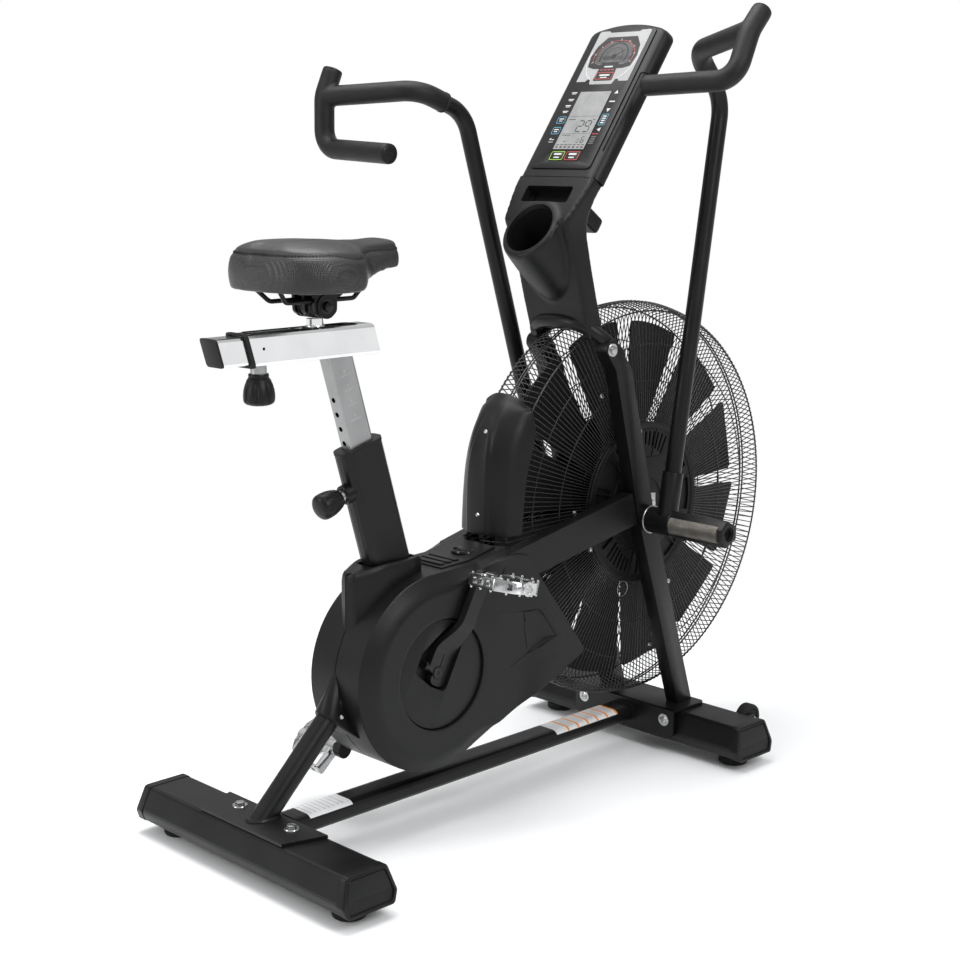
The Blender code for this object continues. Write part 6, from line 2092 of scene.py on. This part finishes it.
def mast():
    """The moulded mast: column, cup holder and block flow into one another."""
    column = outline_plate("column", mast_outline(), -CONSOLE_HALF + 0.0035, CONSOLE_HALF - 0.0035)

    def narrow(co):
        co.y *= 1 - share(CONSOLE_LOW.z - co.z, 0.004, 0.1) * (1 - 0.0765 / CONSOLE_HALF)

    places = [(0, 0, CONSOLE_LOW.z - 0.0085 * k) for k in range(1, 14)]
    column = bevel(bent(column, places, (0, 0, 1), narrow), 0.0095, 5, 40)
    block = on_face(box("block", (-0.03, -0.036, -0.126), (0.03, -0.006, -0.02), 0.004))
    body = boolean(column, (loft("cup", cup_rings(CUP_OUTSIDE)), block), "UNION")
    body = relaxed(remeshed(body, 0.0025), 0.5, 26)
    above = on_face(box("above", (-0.2, -0.0008, -0.1), (0.2, 0.06, 0.06)))
    tray = on_face(box("tray", (-0.055, -0.053, -0.024), (0.055, -0.02, 0.02), 0.0045))
    cage_way = rod("cage_way", FAN - Vector((0, 0.0575, 0)), FAN + Vector((0, 0.0575, 0)), 0.3778, 128)
    hoop_way = pipes(
        "hoop_way", [[(HOOP_X, UPRIGHT_Y, 0.74), *hoop_points(25), (HOOP_X, -UPRIGHT_Y, 0.74)]], 0.0135, 5
    )
    body = cut(body, above, loft("hollow", cup_rings(CUP_INSIDE)), tray, cage_way, hoop_way)
    body.name = "mast"
    piece(body, "plastic", replaces=("console_mast",), angle=60)
    # Near-black liners in the cup's hollow and on the tray's floor: painted shade.
    liner = loft(
        "cup_liner_shade",
        cup_rings([(0.006, 0.0482, 0.0482), (0.05, 0.047, 0.041), (0.0895, 0.04, 0.031)], 64, 0.0004),
        caps=False
    )
    floor = loft("floor", cup_rings([(0.0885, 0.04, 0.031), (0.0893, 0.04, 0.031)], 64, 0.0004))
    piece(merge("cup_liner_shade", walled(liner, 0.0006), floor), "inner")
    tray_liner_shade = on_face(box("tray_liner_shade", (-0.0546, -0.0526, -0.0238), (0.0546, -0.0204, -0.0222)))
    piece(tray_liner_shade, "inner")


# ---- swinging arms ----
GRIP_R = 0.018
ARM_KNEE = (-0.052, 0.149, 0.76)
ARM_ELBOW = (-0.145, 0.152, 0.821)
JUNCTION = (-0.2195, 0.318, 0.829)
STUB_TOP = (-0.1926, 0.3141, 0.8688)
BAR_LOW = (-0.24, 0.32, 0.742)
GRIP_END = (-0.2475, 0.14, 0.7345)


def on_arm(obj, side):
    """Swing a piece built for the left arm at the middle of its swing to where the arms stand at rest."""
    angle = ARM_SWING if side == RIGHT else -ARM_SWING
    flip = Matrix.Diagonal((1, side, 1, 1))
    return moved(obj, Matrix.Translation(PIVOT) @ Matrix.Rotation(angle, 4, "Y") @ flip)


def end_plug(end, before, radius):
    """A domed plug with a small ring, over the end of a padded bar."""
    end, before = Vector(end), Vector(before)
    profile = [(0.0, 0.0042), (0.003, 0.0042), (0.0036, 0.0036), (0.0044, 0.0036), (0.005, 0.004)]
    profile += [
        (0.62 * radius, 0.0034), (0.86 * radius, 0.0022), (0.96 * radius, 0.0004), (0.97 * radius, -0.0015)
    ]
    profile += [(0.9 * radius, -0.002), (0.0, -0.002)]
    return aimed(spun("plug", profile, 56), end, end - before)


def swing_arm(side_name, side):
    """A swinging arm: hub, socket, bent tube, padded handle, end plugs and the padding's band."""
    body = f"swing_arm_{side_name}"
    corners = [(-0.0045, 0.148, 0.02), ARM_KNEE, ARM_ELBOW, JUNCTION]
    path = rounded_path(corners, (0.07, 0.048), 14)
    seam = path[15].lerp(path[16], 0.4)
    tube = pipes("tube", [[*path[:16], seam]], 0.015, 9)
    hub_profile = [
        (0.0232, 0.166), (0.024, 0.1652), (0.024, 0.1136), (0.0232, 0.1128), (0.0104, 0.1128), (0.0104, 0.166)
    ]
    hub = turned("hub", hub_profile, (0, 0, 0), steps=72)
    low, high = Vector((-0.004, 0.1475, 0.012)), Vector((-0.0098, 0.149, 0.092))
    socket = rod("socket", low, high, 0.0188, 56, rounding=0.0008)
    arm = boolean(hub, (socket,), "UNION")
    arm = bevel(arm, 0.0022, 3, 50)
    piece(
        on_arm(merge(f"arm_{side_name}_base", arm, tube), side), "powder", body, (f"arm_{side_name}",),
        angle=40
    )
    upper = pipes("upper", [[seam, *path[16:]]], GRIP_R, 10)
    grip_path = rounded_path([STUB_TOP, JUNCTION, BAR_LOW, GRIP_END], (0.06, 0.034), 14)
    grip = pipes("grip", [grip_path], GRIP_R, 10)
    foam = boolean(upper, (grip,), "UNION")
    foam = relaxed(remeshed(foam, 0.0024), 0.5, 5)
    piece(on_arm(merge(f"grip_{side_name}", foam), side), "foam", body, (f"handle_{side_name}",), angle=60)
    plugs = [end_plug(STUB_TOP, grip_path[1], GRIP_R), end_plug(GRIP_END, grip_path[-2], GRIP_R)]
    piece(on_arm(merge(f"plugs_{side_name}", *plugs), side), "plastic", body)
    # The seam ring where the padding starts on the bare tube.
    ring = [
        (0.0145, -0.0035), (0.0172, -0.0035), (0.0183, -0.0022), (0.0184, 0.0016), (0.0176, 0.003),
        (0.0145, 0.003)
    ]
    band = aimed(spun(f"grip_band_{side_name}", ring, 56), seam, path[16] - path[15])
    piece(on_arm(band, side), "rubber", body)


# ---- camera, light and floor ----
CAMERA_LENS = 64.2
CAMERA_PLACE = Vector((-2.132, -2.085, 1.141))
CAMERA_TURN = (radians(78.902), 0.0, radians(-44.241))
# The surround's strength as a light, at eye level and overhead.
FILL = (0.28, 0.85)
WHITE = (1.0, 1.0, 1.0, 1.0)
# How far from the middle the floor starts to fade, and where it is plain white.
FLOOR_FADE = (0.75, 1.55)


def area_light(name, place, target, size, power):
    data = bpy.data.lights.new(name, "AREA")
    data.shape = "RECTANGLE"
    data.size, data.size_y = size
    data.energy = power
    light = bpy.data.objects.new(name, data)
    light.location = place
    light.rotation_euler = (Vector(target) - Vector(place)).to_track_quat("-Z", "Y").to_euler()
    bpy.context.scene.collection.objects.link(light)


def make_world():
    """A plain white surround: bright where the camera sees it, and dimmer as a light."""
    world = bpy.data.worlds.new("studio")
    world.use_nodes = True
    nodes, links = world.node_tree.nodes, world.node_tree.links
    fill = nodes["Background"]
    fill.inputs["Color"].default_value = WHITE
    # Brighter overhead than at eye level, so that dark sides stay dark and tops take a sheen.
    coords = nodes.new("ShaderNodeTexCoord")
    parts = nodes.new("ShaderNodeSeparateXYZ")
    links.new(coords.outputs["Generated"], parts.inputs["Vector"])
    links.new(ranged(nodes, links, parts.outputs["Z"], *FILL, 0.05, 0.75), fill.inputs["Strength"])
    seen = add_node(nodes, "Background", Color=WHITE, Strength=1.0)
    path = nodes.new("ShaderNodeLightPath")
    mix = nodes.new("ShaderNodeMixShader")
    links.new(path.outputs["Is Camera Ray"], mix.inputs["Fac"])
    links.new(fill.outputs["Background"], mix.inputs[1])
    links.new(seen.outputs["Background"], mix.inputs[2])
    links.new(mix.outputs["Shader"], nodes["World Output"].inputs["Surface"])
    bpy.context.scene.world = world


def make_floor():
    """A pale floor that takes soft shadows near the object and fades to the white surround."""
    bm = bmesh.new()
    bmesh.ops.create_grid(bm, x_segments=1, y_segments=1, size=30.0)
    floor = from_bmesh("floor", bm)
    floor.location.z = -0.0005
    mat = surface("pale_floor", 0.95, 0.97, (0.7, 0.8), 300, 0.02, mottle=2, specular=0.1)
    nodes, links = mat.node_tree.nodes, mat.node_tree.links
    coords = nodes.new("ShaderNodeTexCoord")
    length = nodes.new("ShaderNodeVectorMath")
    length.operation = "LENGTH"
    links.new(coords.outputs["Object"], length.inputs[0])
    far = ranged(nodes, links, length.outputs["Value"], 0.0, 1.0, *FLOOR_FADE)
    glow = add_node(nodes, "Emission", Color=WHITE)
    mix = nodes.new("ShaderNodeMixShader")
    links.new(far, mix.inputs["Fac"])
    links.new(nodes["Principled BSDF"].outputs["BSDF"], mix.inputs[1])
    links.new(glow.outputs["Emission"], mix.inputs[2])
    links.new(mix.outputs["Shader"], nodes["Material Output"].inputs["Surface"])
    floor.data.materials.append(mat)


def make_studio():
    """Camera, floor, surround and three soft lights."""
    data = bpy.data.cameras.new("camera")
    data.lens = CAMERA_LENS
    data.sensor_width = 36.0
    camera = bpy.data.objects.new("camera", data)
    camera.location = SHIFT @ CAMERA_PLACE
    camera.rotation_euler = CAMERA_TURN
    bpy.context.scene.collection.objects.link(camera)
    bpy.context.scene.camera = camera
    make_floor()
    make_world()
    bpy.context.scene.view_settings.view_transform = "Standard"
    area_light("key", (-0.4, -2.7, 2.5), (0.0, 0.0, 0.5), (0.9, 1.4), 40)
    area_light("side", (-2.9, 1.1, 1.6), (-0.2, 0.0, 0.6), (0.5, 1.9), 24)
    area_light("top", (-0.3, 0.3, 3.0), (-0.1, 0.0, 0.3), (1.8, 1.8), 60)


# ---- assembly ----
def build():
    """Make every piece round the CAD nodes."""
    dress_nodes()
    make_studio()
    base_details()
    strut_details()
    frame_details()
    for side_name, side in SIDES.items():
        cage(side_name, side)
        hub_plate(side_name, side)
        cover(side_name, side)
        crank_arm(side_name, side)
        crank_disc(side_name, side)
        pedal(side_name, side)
        swing_arm(side_name, side)
    for make in (round_badge, fan_rotor, fan_ends, cover_top, cover_collar, fan_guard, sleeve_rim):
        make()
    for make in (post_marks, slider_details, saddle_clamp, saddle, knobs):
        make()
    for make in (console_housing, film, gauge, display, legends, keys, mast):
        make()


build()
